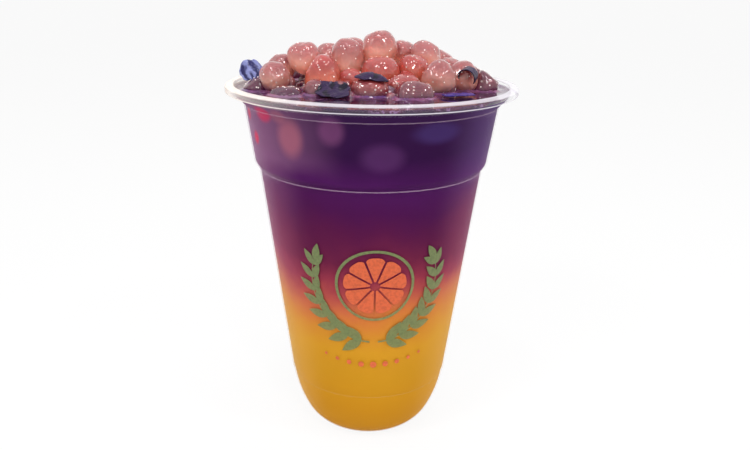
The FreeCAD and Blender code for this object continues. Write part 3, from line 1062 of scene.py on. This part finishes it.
@dataclass
class Drink:
    """The drink's three layers, which reach just into the cup's wall, and its open surface."""

    cup: Cup
    ice: "IceHeap"
    reach_in: float = 0.35
    around: int = 224
    climb: float = 0.9
    climb_length: float = 0.8

    def wall_profile(self, bottom: float, top: float) -> Profile:
        """The drink's side between two heights.

        Args:
            bottom: The lower height, in mm.
            top: The upper height, in mm.

        Returns:
            Points from the lower height to the upper one, in mm.
        """
        inset = self.cup.wall - self.reach_in
        heights = [point[1] for point in self.cup.side(inset) if bottom < point[1] < top]
        return [(self.cup.radius_at(up, inset), up) for up in [bottom, *sorted(set(heights)), top]]

    def layer(self, name: str, node: str, slot: str, finish: bpy.types.Material) -> None:
        """Makes one of the two lower layers, closed at its bottom and its top.

        Args:
            name: The piece's name.
            node: The solid that it stands for.
            slot: The record's material slot.
            finish: Its material.
        """
        low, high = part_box(node)
        bottom, top = low[2] / MM, high[2] / MM
        if bottom < self.cup.low_height:
            bottom = self.cup.wall + 0.3
            side = self.wall_profile(bottom, top)
            floor = self.cup.base_rise + self.cup.wall - self.reach_in
            inner = self.cup.foot_radius - self.cup.foot_width
            side = [(0.0, floor), (inner - self.cup.base_slant, floor), (inner + 0.2, bottom)] + side
        else:
            side = [(0.0, bottom)] + self.wall_profile(bottom, top)
        profile = [(out * MM, up * MM) for out, up in side + [(0.0, top)]]
        points, faces = turned(profile, self.around)
        obj = piece_from(name, points, faces, [finish])
        obj.data.set_sharp_from_angle(angle=math.radians(50.0))
        add_piece(obj, slot, node)

    def surface_height(self, out: float, angle: float, tree: KDTree) -> tuple[float, float]:
        """The open surface's height and how much of it is film, at a place on it.

        Args:
            out: Distance from the axis, in mm.
            angle: Bearing about the axis.
            tree: Points of the lumps near the drink's level, in mm.

        Returns:
            The height in mm, and the film's share from 0 to 1.
        """
        level = self.cup.level
        place = Vector((out * math.cos(angle), out * math.sin(angle), level))
        gap = tree.find(place)[2]
        wall_gap = max(self.cup.radius_at(level, self.cup.wall) - out, 0.0)
        rise = self.climb * (math.exp(-gap / self.climb_length) + 0.6 * math.exp(-wall_gap / 0.9))
        sway = 0.12 * ripple(place * MM, 0.008, 3.1)
        return level + rise + sway - 0.25, min(1.0, math.exp(-gap / 1.5) + 0.35 * math.exp(-wall_gap / 0.8))

    def top_layer(self, side: bpy.types.Material, surface: bpy.types.Material) -> None:
        """Makes the violet layer, with a surface that climbs the ice and the wall.

        Args:
            side: The material of its side.
            surface: The material of its open surface.
        """
        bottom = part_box("tea_layer")[0][2] / MM
        level = self.cup.level
        tree = self.ice.points_near(level)
        edge = self.cup.radius_at(level, self.cup.wall - self.reach_in)
        outs = list(np.linspace(1.0, 0.02, 96) * edge)
        angles = np.linspace(0.0, 2.0 * math.pi, self.around, endpoint=False)
        side_rings = [(0.01, bottom)] + self.wall_profile(bottom, level - 0.6)
        points = [(out * math.cos(angle), out * math.sin(angle), up)
                  for out, up in side_rings for angle in angles]
        film = [0.0] * len(points)
        for out in outs:
            for angle in angles:
                height, share = self.surface_height(out, angle, tree)
                points.append((out * math.cos(angle), out * math.sin(angle), height))
                film.append(share)
        rings = len(side_rings) + len(outs)
        faces = ring_faces(rings, self.around)
        last = (rings - 1) * self.around
        faces += [tuple(range(self.around))[::-1], tuple(range(last, last + self.around))]
        obj = piece_from("violet_tea", np.array(points) * MM, faces, [side, surface])
        paint(obj, film=film)
        first_open = (len(side_rings) - 1) * self.around
        for polygon in obj.data.polygons:
            if min(polygon.vertices) >= first_open:
                polygon.material_index = 1
        obj.data.set_sharp_from_angle(angle=math.radians(60.0))
        add_piece(obj, "violet_tea", "tea_layer")

    def build(self) -> None:
        """Makes the three layers."""
        side = LayeredDrink().make()
        self.layer("citrus_drink", "citrus_layer", "citrus_tea", side)
        self.layer("blended_drink", "blended_layer", "blended_tea", side)
        self.top_layer(side, WetSurface().make())


# ----------------------------------------------------------------------------------------------------
# The ice
# ----------------------------------------------------------------------------------------------------

@dataclass
class IceHeap:
    """The heap: one rounded lump for each solid, chips between them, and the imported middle. Sizes in mm."""

    level: float
    mouth: float
    detail: int = 5
    swell: float = 1.03
    round_share: float = 0.10
    faceted: int = 8
    facet_depth: Point = (0.76, 0.93)
    slump: float = 0.44
    slump_from: float = 32.0
    slump_over: float = 5.0
    pebble_count: int = 210
    pebble_size: Point = (2.0, 3.4)
    chip_count: int = 120
    chip_size: Point = (1.0, 2.2)
    beads_each: int = 14
    bead_size: Point = (0.10, 0.28)

    def __post_init__(self) -> None:
        """Finds the lumps and makes the ball that they are shaped from."""
        self.names = sorted(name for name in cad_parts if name.startswith("ice_") and name != "ice_core")
        self.ball, self.faces = ico_ball(self.detail)
        self.neighbours = self.find_neighbours()
        self.shapes: dict[str, np.ndarray] = {
            name: self.shape(index, name) for index, name in enumerate(self.names)
        }
        self.tree = BVHTree.FromPolygons(
            [Vector(point) for points in self.shapes.values() for point in points],
            repeated(self.faces, len(self.names), len(self.ball)),
        )

    def find_neighbours(self) -> tuple[np.ndarray, np.ndarray]:
        """Pairs up the ball's points that share an edge.

        Returns:
            The two ends of every edge, both ways round.
        """
        edges = {(face[step], face[(step + 1) % 3]) for face in self.faces for step in range(3)}
        edges |= {(end, start) for start, end in edges}
        pairs = np.array(sorted(edges))
        return pairs[:, 0], pairs[:, 1]

    def smoothed(self, values: np.ndarray, times: int) -> np.ndarray:
        """Evens out values over the ball.

        Args:
            values: One value a point.
            times: How often they are evened out.

        Returns:
            The evened values.
        """
        starts, ends = self.neighbours
        count = np.bincount(starts, minlength=len(values))
        for _ in range(times):
            values = np.bincount(starts, weights=values[ends], minlength=len(values)) / count
        return values

    def shape(self, index: int, name: str) -> np.ndarray:
        """One lump's points, in mm: its solid's form, melted rounder and made uneven.

        Args:
            index: The lump's number, which seeds its unevenness.
            name: Its solid's name.

        Returns:
            The points, in the ball's order.
        """
        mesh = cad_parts[name].data
        low, high = (np.array(corner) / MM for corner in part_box(name))
        centre = (low + high) / 2.0
        half = (high - low) / 2.0
        tree = BVHTree.FromPolygons([vertex.co / MM for vertex in mesh.vertices],
                                    [tuple(polygon.vertices) for polygon in mesh.polygons])
        reach = np.empty(len(self.ball))
        for number, way in enumerate(self.ball):
            hit = tree.ray_cast(Vector(centre), Vector(way))
            reach[number] = hit[3] if hit[0] is not None else float(min(half))
        egg = 1.0 / np.linalg.norm(self.ball / half, axis=1)
        rng = np.random.default_rng(40 + index)
        for way in rng.normal(size=(self.faceted, 3)):
            facing = self.ball @ (way / np.linalg.norm(way))
            limit = (reach * facing).max() * rng.uniform(*self.facet_depth)
            reach = np.where(facing > 0.1, np.minimum(reach, limit / np.maximum(facing, 0.1)), reach)
        reach = self.smoothed(reach, 14) * (1.0 - self.round_share) + egg * self.round_share
        uneven = np.array([
            ripple(way, 0.9, 11.0 + 3.7 * index) * 0.075 + ripple(way, 0.40, 5.0 + 2.3 * index) * 0.030
            for way in self.ball
        ])
        points = centre + self.ball * (reach * self.swell * (1.0 + uneven))[:, None]
        rise = points[:, 2].max() - centre[2]
        points[:, 2] = centre[2] + (points[:, 2] - centre[2]) * min(1.0, half[2] / rise)
        away = float(np.hypot(centre[0], centre[1]))
        outward = (points[:, :2] - centre[:2]) @ (centre[:2] / max(away, 1e-6)) / half[0]
        slump = self.slump * np.clip((away - self.slump_from) / self.slump_over, 0.0, 1.0)
        slump = slump * np.clip(outward + 0.30, 0.0, 1.2)
        points[:, 2] -= np.maximum(points[:, 2] - centre[2] + 1.0, 0.0) * slump
        out = np.hypot(points[:, 0], points[:, 1])
        limit = np.minimum(1.0, (self.mouth - 0.35) / np.maximum(out, 1e-6))
        points[:, :2] *= limit[:, None]
        return points

    def points_near(self, level: float) -> KDTree:
        """Finds the lumps' points close to a level.

        Args:
            level: The level, in mm.

        Returns:
            The points, moved onto the level.
        """
        rows = [points[np.abs(points[:, 2] - level) < 0.7] for points in self.shapes.values()]
        near = np.vstack(rows)
        tree = KDTree(len(near))
        for number, point in enumerate(near):
            tree.insert(Vector((point[0], point[1], level)), number)
        tree.balance()
        return tree

    def dress(self, obj: bpy.types.Object, points: np.ndarray) -> None:
        """Writes what the ice's finish reads: how high on its lump a point is, and the lump's colour.

        Args:
            obj: The lump.
            points: Its points, in mm.
        """
        low, high = points[:, 2].min(), points[:, 2].max()
        # up sets the finish's painted glow, brighter low on each lump.
        up = (points[:, 2] - (low + high) / 2.0) / ((high - low) / 2.0)
        centre = points.mean(axis=0)
        out = float(np.hypot(centre[0], centre[1]))
        cool = 0.45 * np.clip((out - 22.0) / 18.0, 0.0, 1.0)
        above = centre[2] - self.level
        cool = cool + 0.6 * np.clip((4.0 - above) / 4.0, 0.0, 1.0)
        tint = np.clip((22.0 - out) / 6.0, 0.0, 1.0) * np.clip((9.0 - above) / 2.0, 0.0, 1.0)
        every = np.ones(len(points))
        paint(obj, up=up, cool=every * cool, tint=every * tint)

    def build(self, finish: bpy.types.Material) -> None:
        """Makes the lumps.

        Args:
            finish: The material.
        """
        for name in self.names:
            points = self.shapes[name]
            obj = piece_from(name.replace("ice_", "ice_lump_"), points * MM, self.faces, [finish])
            self.dress(obj, points)
            add_piece(obj, "ice", name)

    def core(self, finish: bpy.types.Material) -> None:
        """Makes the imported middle: pebbles of ice run together over a smaller dome.

        Args:
            finish: The material.
        """
        low, high = (np.array(corner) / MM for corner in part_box("ice_core"))
        middle = (low + high) / 2.0
        radius = (high[0] - low[0]) / 2.0 - 1.0
        rise = high[2] - self.level
        rng = np.random.default_rng(7)
        turns = np.arange(self.pebble_count)
        outs = radius * np.sqrt((turns + 0.5) / len(turns))
        bearings = turns * GOLDEN_TURN + rng.uniform(-0.25, 0.25, len(turns))
        seats = np.column_stack((outs * np.cos(bearings), outs * np.sin(bearings)))
        sizes = rng.uniform(*self.pebble_size, len(turns))
        tops = (rise - 2.2) * (1.0 - (outs / radius) ** 2) - 1.6 + rng.uniform(-0.8, 0.8, len(turns))
        around, rings = 200, 90
        angles = np.linspace(0.0, 2.0 * math.pi, around, endpoint=False)
        points = []
        for out in np.linspace(radius, 0.02, rings):
            for angle in angles:
                place = np.array((out * math.cos(angle), out * math.sin(angle)))
                gaps = np.linalg.norm(seats - place, axis=1)
                rounds = np.sqrt(np.maximum(sizes ** 2 - gaps ** 2, 0.0))
                bumps = np.where(gaps < sizes, rounds - sizes * 0.35, -9.0)
                dome = (rise - 3.6) * (1.0 - (out / radius) ** 2) - 2.2
                height = max(float((tops + bumps - 0.6).max()), dome)
                points.append((*(place + middle[:2]), self.level + min(height, rise - 0.2)))
        base = len(points)
        points += [(x, y, self.level - 3.0) for x, y, _ in points[:around]]
        faces = ring_faces(rings, around)
        faces += [
            (base + (step + 1) % around, (step + 1) % around, step, base + step) for step in range(around)
        ]
        faces += [tuple(range(base - around, base)), tuple(range(base, base + around))[::-1]]
        obj = piece_from("packed_ice", np.array(points) * MM, faces, [finish])
        add_piece(obj, "packed_ice", "ice_core")

    def chips(self, finish: bpy.types.Material) -> None:
        """Makes small melted chips that lie between the lumps.

        Args:
            finish: The material.
        """
        rng = np.random.default_rng(21)
        ball, faces = ico_ball(3)
        low, high = (np.array(corner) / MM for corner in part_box("ice_core"))
        middle, reach = (low + high) / 2.0, (high[0] - low[0]) / 2.0 - 4.0
        clouds, cools, tints = [], [], []
        for number in range(self.chip_count):
            out = reach * math.sqrt((number + 0.5) / self.chip_count)
            bearing = GOLDEN_TURN * number + rng.uniform(-0.2, 0.2)
            size = rng.uniform(*self.chip_size, 3)
            rise = 6.6 * max(0.0, 1.0 - (out / reach) ** 2)
            centre = np.array((middle[0] + out * math.cos(bearing), middle[1] + out * math.sin(bearing),
                               self.level + rise + rng.uniform(-0.9, 0.6)))
            uneven = np.array([ripple(way, 0.8, 3.0 * number) for way in ball]) * 0.2
            clouds.append(centre + ball * size * (1.0 + uneven)[:, None])
            cools.append(min(max((out - 11.0) / 18.0, 0.0), 1.0))
            tints.append(rng.uniform(0.2, 1.0))
        obj = scatter("ice_chips", clouds, faces, finish)
        paint(obj, up=np.tile(ball[:, 2], len(clouds)), cool=np.repeat(cools, len(ball)),
              tint=np.repeat(tints, len(ball)))
        add_piece(obj, "ice")

    def beads(self, finish: bpy.types.Material) -> None:
        """Makes tiny beads of water and air on the lumps' upper sides, painted as glowing glints.

        Args:
            finish: The material.
        """
        rng = np.random.default_rng(5)
        ball, faces = ico_ball(1)
        clouds = []
        for points in self.shapes.values():
            centre = points.mean(axis=0)
            high = np.flatnonzero((self.ball[:, 2] > -0.25) & (points[:, 2] > self.level + 1.0))
            if not len(high):
                continue
            for number in rng.choice(high, size=min(self.beads_each, len(high)), replace=False):
                size = rng.uniform(*self.bead_size)
                if points[number][2] + size <= CAD_BOX[1][2] / MM:
                    clouds.append(points[number] - (points[number] - centre) * 0.01 + ball * size)
        add_piece(scatter("glowing_glint_beads", clouds, faces, finish), "ice")


# ----------------------------------------------------------------------------------------------------
# The petals
# ----------------------------------------------------------------------------------------------------

class Lie(Enum):
    """How a petal holds itself."""

    FREE = "free"
    DRAPED = "draped"


@dataclass
class Petal:
    """One soaked petal: a thin crumpled sheet, curled about its length. Sizes in mm.

    It lies on the middle of its solid's box, moved by shift. A draped one settles on what is under it: it
    follows a share of the hollows, and the highest lump props it up.
    """

    name: str
    node: str
    shift: Triple
    wide: float
    long: float
    curl: float
    crumple: float
    turn: Triple
    lie: Lie = Lie.FREE
    thick: float = 0.32
    seed: float = 0.0
    dome: float = 0.0
    sag: float = 0.20
    propped: float = 0.25
    steps: int = 44

    def sheet_point(self, across: float, along: float) -> Vector:
        """A point of the sheet before it is placed.

        Args:
            across: Its place across the sheet, from -1 to 1.
            along: Its place along the sheet, from -1 to 1.

        Returns:
            The point.
        """
        outline = math.sqrt(max(0.0, 1.0 - 0.80 * abs(along) ** 2.6))
        outline = outline * (1.0 + 0.08 * math.sin(5.0 * along + self.seed))
        side = across * outline * self.wide / 2.0
        length = along * self.long / 2.0 * (1.0 + 0.05 * math.cos(3.0 * across + self.seed))
        bend = side * math.radians(self.curl) / (self.wide / 2.0)
        radius = self.wide / 2.0 / math.radians(self.curl)
        rise = radius * (math.cos(bend) - 1.0) + self.crease(side, length)
        return Vector((radius * math.sin(bend), length, rise))

    def crease(self, side: float, length: float) -> float:
        """How far the sheet's folds lift it at a place, with sharp ridges between soft hollows.

        Args:
            side: The place across the sheet.
            length: The place along the sheet.

        Returns:
            The lift.
        """
        ridge = 1.0 - 2.2 * abs(ripple((side, length * 0.7, 0.0), 2.6, self.seed))
        fine = 1.0 - 2.2 * abs(ripple((side * 0.8, length, 1.0), 1.1, self.seed + 4.0))
        return self.crumple * (0.65 * ridge + 0.22 * fine)

    def folds(self) -> np.ndarray:
        """Finds how far the folds lift the flat sheet.

        Returns:
            The lift at every point, in rows.
        """
        shares = np.linspace(-1.0, 1.0, self.steps + 1)
        return np.array([[self.crease(across * self.wide / 2.0, along * self.long / 2.0) for across in shares]
                         for along in shares])

    def height_under(self, heap: IceHeap, x: float, y: float) -> float:
        """The height of the ice, or of the drink, under a place."""
        hit = heap.tree.ray_cast(Vector((x, y, 200.0)), Vector((0.0, 0.0, -1.0)))
        return max(hit[0].z, heap.level) if hit[0] is not None else heap.level

    def placed(self, heap: IceHeap) -> np.ndarray:
        """Places the sheet.

        Args:
            heap: The ice that a draped petal lies on.

        Returns:
            Its points in rows.
        """
        turn = Euler([math.radians(angle) for angle in self.turn], "XYZ").to_matrix()
        low, high = (Vector(corner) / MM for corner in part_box(self.node))
        middle = (low + high) / 2.0 + Vector(self.shift)
        shares = np.linspace(-1.0, 1.0, self.steps + 1)
        grid = np.array([[tuple(turn @ self.sheet_point(across, along) + middle) for across in shares]
                         for along in shares])
        if self.lie is Lie.DRAPED:
            under = np.array([[self.height_under(heap, point[0], point[1]) for point in row] for row in grid])
            flat = np.column_stack((grid[:, :, 0].ravel(), grid[:, :, 1].ravel(), np.ones(under.size)))
            slope = np.linalg.lstsq(flat, under.ravel(), rcond=None)[0]
            stiff = (flat @ slope).reshape(under.shape)
            under = stiff + (under - stiff) * self.sag + float((under - stiff).max()) * self.propped
            arch = self.dome * np.outer(1.0 - shares ** 2, 1.0 - shares ** 2)
            grid[:, :, 2] = under + self.thick + 0.1 + np.maximum(self.folds(), 0.0) + arch
        return grid

    def build(self, heap: IceHeap, finish: bpy.types.Material) -> None:
        """Makes the petal.

        Args:
            heap: The ice that it lies on.
            finish: Its material.
        """
        points = self.placed(heap).reshape(-1, 3) * MM
        obj = piece_from(self.name, points, grid_faces(self.steps, self.steps), [finish])
        paint(obj, fold=np.clip(0.5 + 0.9 * self.folds().ravel() / max(self.crumple, 0.1), 0.0, 1.0))
        solid = obj.modifiers.new("thickness", "SOLIDIFY")
        solid.thickness = self.thick * MM
        solid.offset = 0.0
        add_piece(obj, "petal", self.node)


@dataclass
class PetalScatter:
    """The petals that lie on the ice and in the drink."""

    heap: IceHeap

    @staticmethod
    def petals() -> tuple[tuple[Petal, WetPetal], ...]:
        """The petals and their finishes.

        Returns:
            Each petal with its finish.
        """
        fold_sheened = WetPetal("petal_fold_sheened", tone(34, 32, 84), tone(136, 142, 194), 0.8)
        blue = WetPetal("petal_blue", tone(46, 30, 104), tone(84, 68, 150), 0.6)
        dark = WetPetal("petal_blackish", tone(14, 5, 28), tone(66, 38, 92), 0.35)
        return (
            (Petal("petal_standing", "petal_wrinkled", (-2.9, -0.4, -2.2), 8.0, 6.4, 52.0, 0.6,
                   (62.0, -14.0, 6.0), seed=1.0), fold_sheened),
            (Petal("petal_loop", "petal_looped", (0.0, -0.9, 0.7), 11.0, 3.6, 112.0, 0.22,
                   (10.0, 14.0, -24.0), seed=2.0), dark),
            (Petal("petal_on_ice", "petal_cap", (0.2, 0.2, 0.0), 9.8, 6.6, 12.0, 0.3,
                   (0.0, 0.0, -6.0), Lie.DRAPED, seed=3.0, dome=1.5), dark),
            (Petal("petal_sunk", "petal_dark", (2.4, -0.9, 0.0), 10.4, 6.4, 12.0, 0.3,
                   (0.0, 0.0, -10.0), Lie.DRAPED, seed=4.0), dark),
            (Petal("petal_in_drink", "petal_floating", (0.0, 0.0, 0.0), 10.4, 4.2, 12.0, 0.3,
                   (0.0, 0.0, 16.0), Lie.DRAPED, seed=5.0), blue),
        )

    def build(self) -> None:
        """Makes the petals, those of one finish from one material."""
        made: dict[str, bpy.types.Material] = {}
        for petal, finish in self.petals():
            if finish.name not in made:
                made[finish.name] = finish.make()
            petal.build(self.heap, made[finish.name])


# ----------------------------------------------------------------------------------------------------
# The print: a plain fruit and leaf design
# ----------------------------------------------------------------------------------------------------

@dataclass
class CupPrint:
    """A citrus wheel held by two leafy sprigs, printed on the front. Places are mm across and up."""

    cup: Cup
    middle: float = 2.0
    up: float = 64.0
    lift: float = 0.05
    wheel: tuple[float, ...] = (1.6, 9.9, 11.6, 12.5)
    segments: int = 9
    sprig_radius: float = 20.5
    leaf_pairs: int = 8
    leaf_size: Point = (8.2, 3.5)

    def __post_init__(self) -> None:
        """Starts with nothing drawn."""
        self.patches: list[tuple[Profile, int, int]] = []

    def on_wall(self, across: float, up: float) -> Triple:
        """A place on the cup's outer skin.

        Args:
            across: How far across the front it is.
            up: Its height.

        Returns:
            The place, in metres.
        """
        out = self.cup.radius_at(up) + self.lift
        bearing = across / self.cup.radius_at(60.0)
        return (out * math.sin(bearing) * MM, -out * math.cos(bearing) * MM, up * MM)

    def patch(self, place: Callable[[float, float], Point], columns: int, rows: int) -> None:
        """Draws a patch.

        Args:
            place: Gives the place for two shares, each from 0 to 1.
            columns: How many faces it has for the first share.
            rows: How many faces it has for the second share.
        """
        points = [
            place(column / columns, row / rows) for row in range(rows + 1) for column in range(columns + 1)
        ]
        self.patches.append((points, columns, rows))

    def ring(self, across: float, up: float, inner: float, outer: float) -> None:
        """Draws a ring.

        Args:
            across: How far across its middle is.
            up: How high its middle is.
            inner: Its inner radius.
            outer: Its outer radius.
        """
        def place(share: float, depth: float) -> Point:
            """A place on the ring, for its shares round and out."""
            angle, radius = 2.0 * math.pi * share, inner + (outer - inner) * depth
            return (across + radius * math.cos(angle), up + radius * math.sin(angle))

        self.patch(place, max(6, int(9.0 * outer)), 2)

    def segment(self, middle: float, width: float) -> None:
        """Draws one segment of the citrus wheel, narrow inside and round outside.

        Args:
            middle: Its bearing, in degrees.
            width: How wide it is, in degrees.
        """
        inner, outer = self.wheel[:2]

        def place(share: float, depth: float) -> Point:
            """A place on the segment.

            Args:
                share: Its share of the way across.
                depth: Its share of the way out.

            Returns:
                The place.
            """
            side = 2.0 * share - 1.0
            radius = inner + (outer - 0.9 * abs(side) ** 4 - inner) * depth
            angle = math.radians(middle) + side * (math.radians(width / 2.0) - 0.32 / radius)
            return (self.middle + radius * math.cos(angle), self.up + radius * math.sin(angle))

        self.patch(place, 10, 8)

    def leaf(self, across: float, up: float, length: float, width: float, lean: float) -> None:
        """Draws a leaf.

        Args:
            across: How far across its stalk is.
            up: How high its stalk is.
            length: How long it is.
            width: How wide it is.
            lean: How many degrees it leans from level.
        """
        way = math.radians(lean)

        def place(along: float, side: float) -> Point:
            """A place on the leaf.

            Args:
                along: Its share of the way along.
                side: Its share of the way across.

            Returns:
                The place.
            """
            half = width / 2.0 * math.sin(math.pi * along ** 0.8) ** 0.9
            ahead, aside = along * length, (2.0 * side - 1.0) * half + 0.12 * length * along * along
            return (across + ahead * math.cos(way) - aside * math.sin(way),
                    up + ahead * math.sin(way) + aside * math.cos(way))

        self.patch(place, 12, 4)

    def build(self, name: str, finish: PrintInk) -> None:
        """Makes one piece of everything drawn so far, and starts again with nothing drawn.

        Args:
            name: The piece's name.
            finish: Its ink.
        """
        points, faces = [], []
        for patch, columns, rows in self.patches:
            faces += grid_faces(columns, rows, len(points))
            points += [self.on_wall(*place) for place in patch]
        self.patches = []
        add_piece(piece_from(name, points, faces, [finish.make()]), "cup_plastic")

    def along_sprig(self, side: int, turn: float, reach: float) -> Point:
        """A place by a sprig.

        Args:
            side: -1 for the left sprig, 1 for the right one.
            turn: How far round from the bottom it is, in degrees.
            reach: How far from the wheel's middle it is.

        Returns:
            The place.
        """
        angle = math.radians(turn)
        return (self.middle + side * reach * math.sin(angle), self.up - reach * math.cos(angle))

    def sprig(self, side: int) -> None:
        """Draws one of the two leafy sprigs that curve up beside the wheel.

        Args:
            side: -1 for the left one, 1 for the right one.
        """
        def stalk(along: float, depth: float) -> Point:
            """A place on the stalk, for its shares along and across."""
            reach = self.sprig_radius + 0.62 * (1.0 - 0.6 * along) * (depth - 0.5)
            return self.along_sprig(side, 4.0 + 106.0 * along, reach)

        self.patch(stalk, 30, 2)
        leaves = [
            (12.0 + 13.4 * number, aside, 1.0 - 0.045 * number)
            for number in range(self.leaf_pairs) for aside in (34.0, -38.0)
        ]
        for turn, aside, size in leaves:
            lean = turn + aside
            self.leaf(*self.along_sprig(side, turn, self.sprig_radius), self.leaf_size[0] * size,
                      self.leaf_size[1] * size, lean if side > 0 else 180.0 - lean)
        self.leaf(*self.along_sprig(side, 111.0, self.sprig_radius), 6.0, 2.6, 112.0 if side > 0 else 68.0)

    def draw(self) -> None:
        """Draws the whole print."""
        for side in (-1, 1):
            self.sprig(side)
        self.ring(self.middle, self.up, *self.wheel[2:])
        self.build("print_green", PrintInk("ink_green", tone(112, 128, 74), 0.80))
        width = 360.0 / self.segments
        for number in range(self.segments):
            self.segment(10.0 + width * number, width)
        for place in range(-4, 5):
            self.ring(self.middle + 4.4 * place, 34.6 + 0.16 * place ** 2, 0.0, 1.25 - 0.16 * abs(place))
        self.build("print_orange", PrintInk("ink_orange", tone(214, 92, 44), 0.86))


# ----------------------------------------------------------------------------------------------------
# The studio
# ----------------------------------------------------------------------------------------------------

@dataclass
class Studio:
    """A pale floor, soft light and the camera.

    The eye is in mm and the lens in mm. The floor's half width is in metres.
    """

    eye: Triple = (1.71, -241.0, 154.4)
    tip: float = 18.69
    roll: float = 0.89
    lens: float = 34.98
    floor_half: float = 25.0

    def camera(self) -> None:
        """Makes the camera."""
        data = bpy.data.cameras.new("camera")
        data.lens = self.lens
        data.sensor_width = 36.0
        data.clip_start = 0.01
        obj = bpy.data.objects.new("camera", data)
        turn = Matrix.Rotation(math.radians(90.0 - self.tip), 4, "X")
        turn = turn @ Matrix.Rotation(math.radians(self.roll), 4, "Z")
        obj.matrix_world = Matrix.Translation(Vector(self.eye) * MM) @ turn
        bpy.context.scene.collection.objects.link(obj)
        bpy.context.scene.camera = obj

    def lamp(
        self, name: str, place: Triple, size: float, power: float, mirrored: bool = True
    ) -> None:
        """Makes a round lamp that faces the cup.

        Args:
            name: The lamp's name.
            place: Where it stands, in metres.
            size: How wide it is, in metres.
            power: Its power, in watts.
            mirrored: Whether glossy surfaces show it.
        """
        data = bpy.data.lights.new(name, "AREA")
        data.shape = "DISK"
        data.size = size
        data.energy = power
        obj = bpy.data.objects.new(name, data)
        turn = (Vector((0.0, 0.0, 0.09)) - Vector(place)).to_track_quat("-Z", "Y").to_matrix().to_4x4()
        obj.matrix_world = Matrix.Translation(Vector(place)) @ turn
        obj.visible_glossy = mirrored
        bpy.context.scene.collection.objects.link(obj)

    def floor(self) -> None:
        """Makes the pale floor, which keeps the shadow and looks white to the camera."""
        shader = Shader.skin("pale_floor", Roughness=0.9, Specular_IOR_Level=0.1)
        mottle = shader.cloud(shader.place(), 0.4)
        shader.feed("Base Color", shader.blend(mottle, tone(250, 249, 248), tone(246, 245, 246)))
        glow = shader.node("ShaderNodeEmission")
        share = shader.seen() * 0.9
        shader.end(shader.node("ShaderNodeMixShader", {}, {0: share, 1: shader.surface, 2: glow}))
        half = self.floor_half
        corners = [(-half, -half, 0.0), (half, -half, 0.0), (half, half, 0.0), (-half, half, 0.0)]
        piece_from("floor", corners, [(0, 1, 2, 3)], [shader.owner], smooth=False)

    def world(self) -> None:
        """Makes the plain pale surroundings."""
        world = bpy.data.worlds.new("studio")
        shader = Shader(world)
        white = (1.0, 1.0, 1.0, 1.0)
        strength = shader.seen() * 0.5 + 0.5
        shader.end(shader.node("ShaderNodeBackground", {}, {"Color": white, "Strength": strength}))
        bpy.context.scene.world = world

    def build(self) -> None:
        """Makes the whole studio."""
        self.camera()
        self.floor()
        self.world()
        self.lamp("key_lamp", (-0.42, -0.50, 0.62), 0.34, 2.2, mirrored=False)
        self.lamp("top_lamp", (0.10, 0.05, 0.75), 0.30, 1.0, mirrored=False)
        self.lamp("side_lamp", (0.60, -0.35, 0.35), 0.26, 0.9, mirrored=False)
        sparks = ((0.02, -0.36, 0.60), (-0.26, -0.30, 0.50), (0.30, -0.22, 0.52), (-0.08, -0.12, 0.66),
                  (0.16, -0.44, 0.40))
        for number, place in enumerate(sparks):
            self.lamp(f"spark_lamp_{number + 1}", place, 0.06, 0.42)
        bpy.context.scene.view_settings.view_transform = "Standard"


# ----------------------------------------------------------------------------------------------------
# Building
# ----------------------------------------------------------------------------------------------------

def main() -> None:
    """Builds every piece in order."""
    logging.basicConfig(level=logging.INFO, format="%(name)s %(message)s")
    low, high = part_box("cup")
    cup = Cup(height=high[2] / MM, rim_radius=(high[0] - low[0]) / 2.0 / MM)
    cup.build(FrostedPlastic())
    heap = IceHeap(level=cup.level, mouth=cup.radius_at(cup.level + 1.5, cup.wall))
    ice = MeltedIce().make()
    heap.build(ice)
    heap.core(PackedIce().make())
    heap.chips(ice)
    heap.beads(GlowingGlintBead().make())
    Drink(cup, heap).build()
    PetalScatter(heap).build()
    CupPrint(cup).draw()
    Studio().build()


if __name__ == "__main__":
    main()
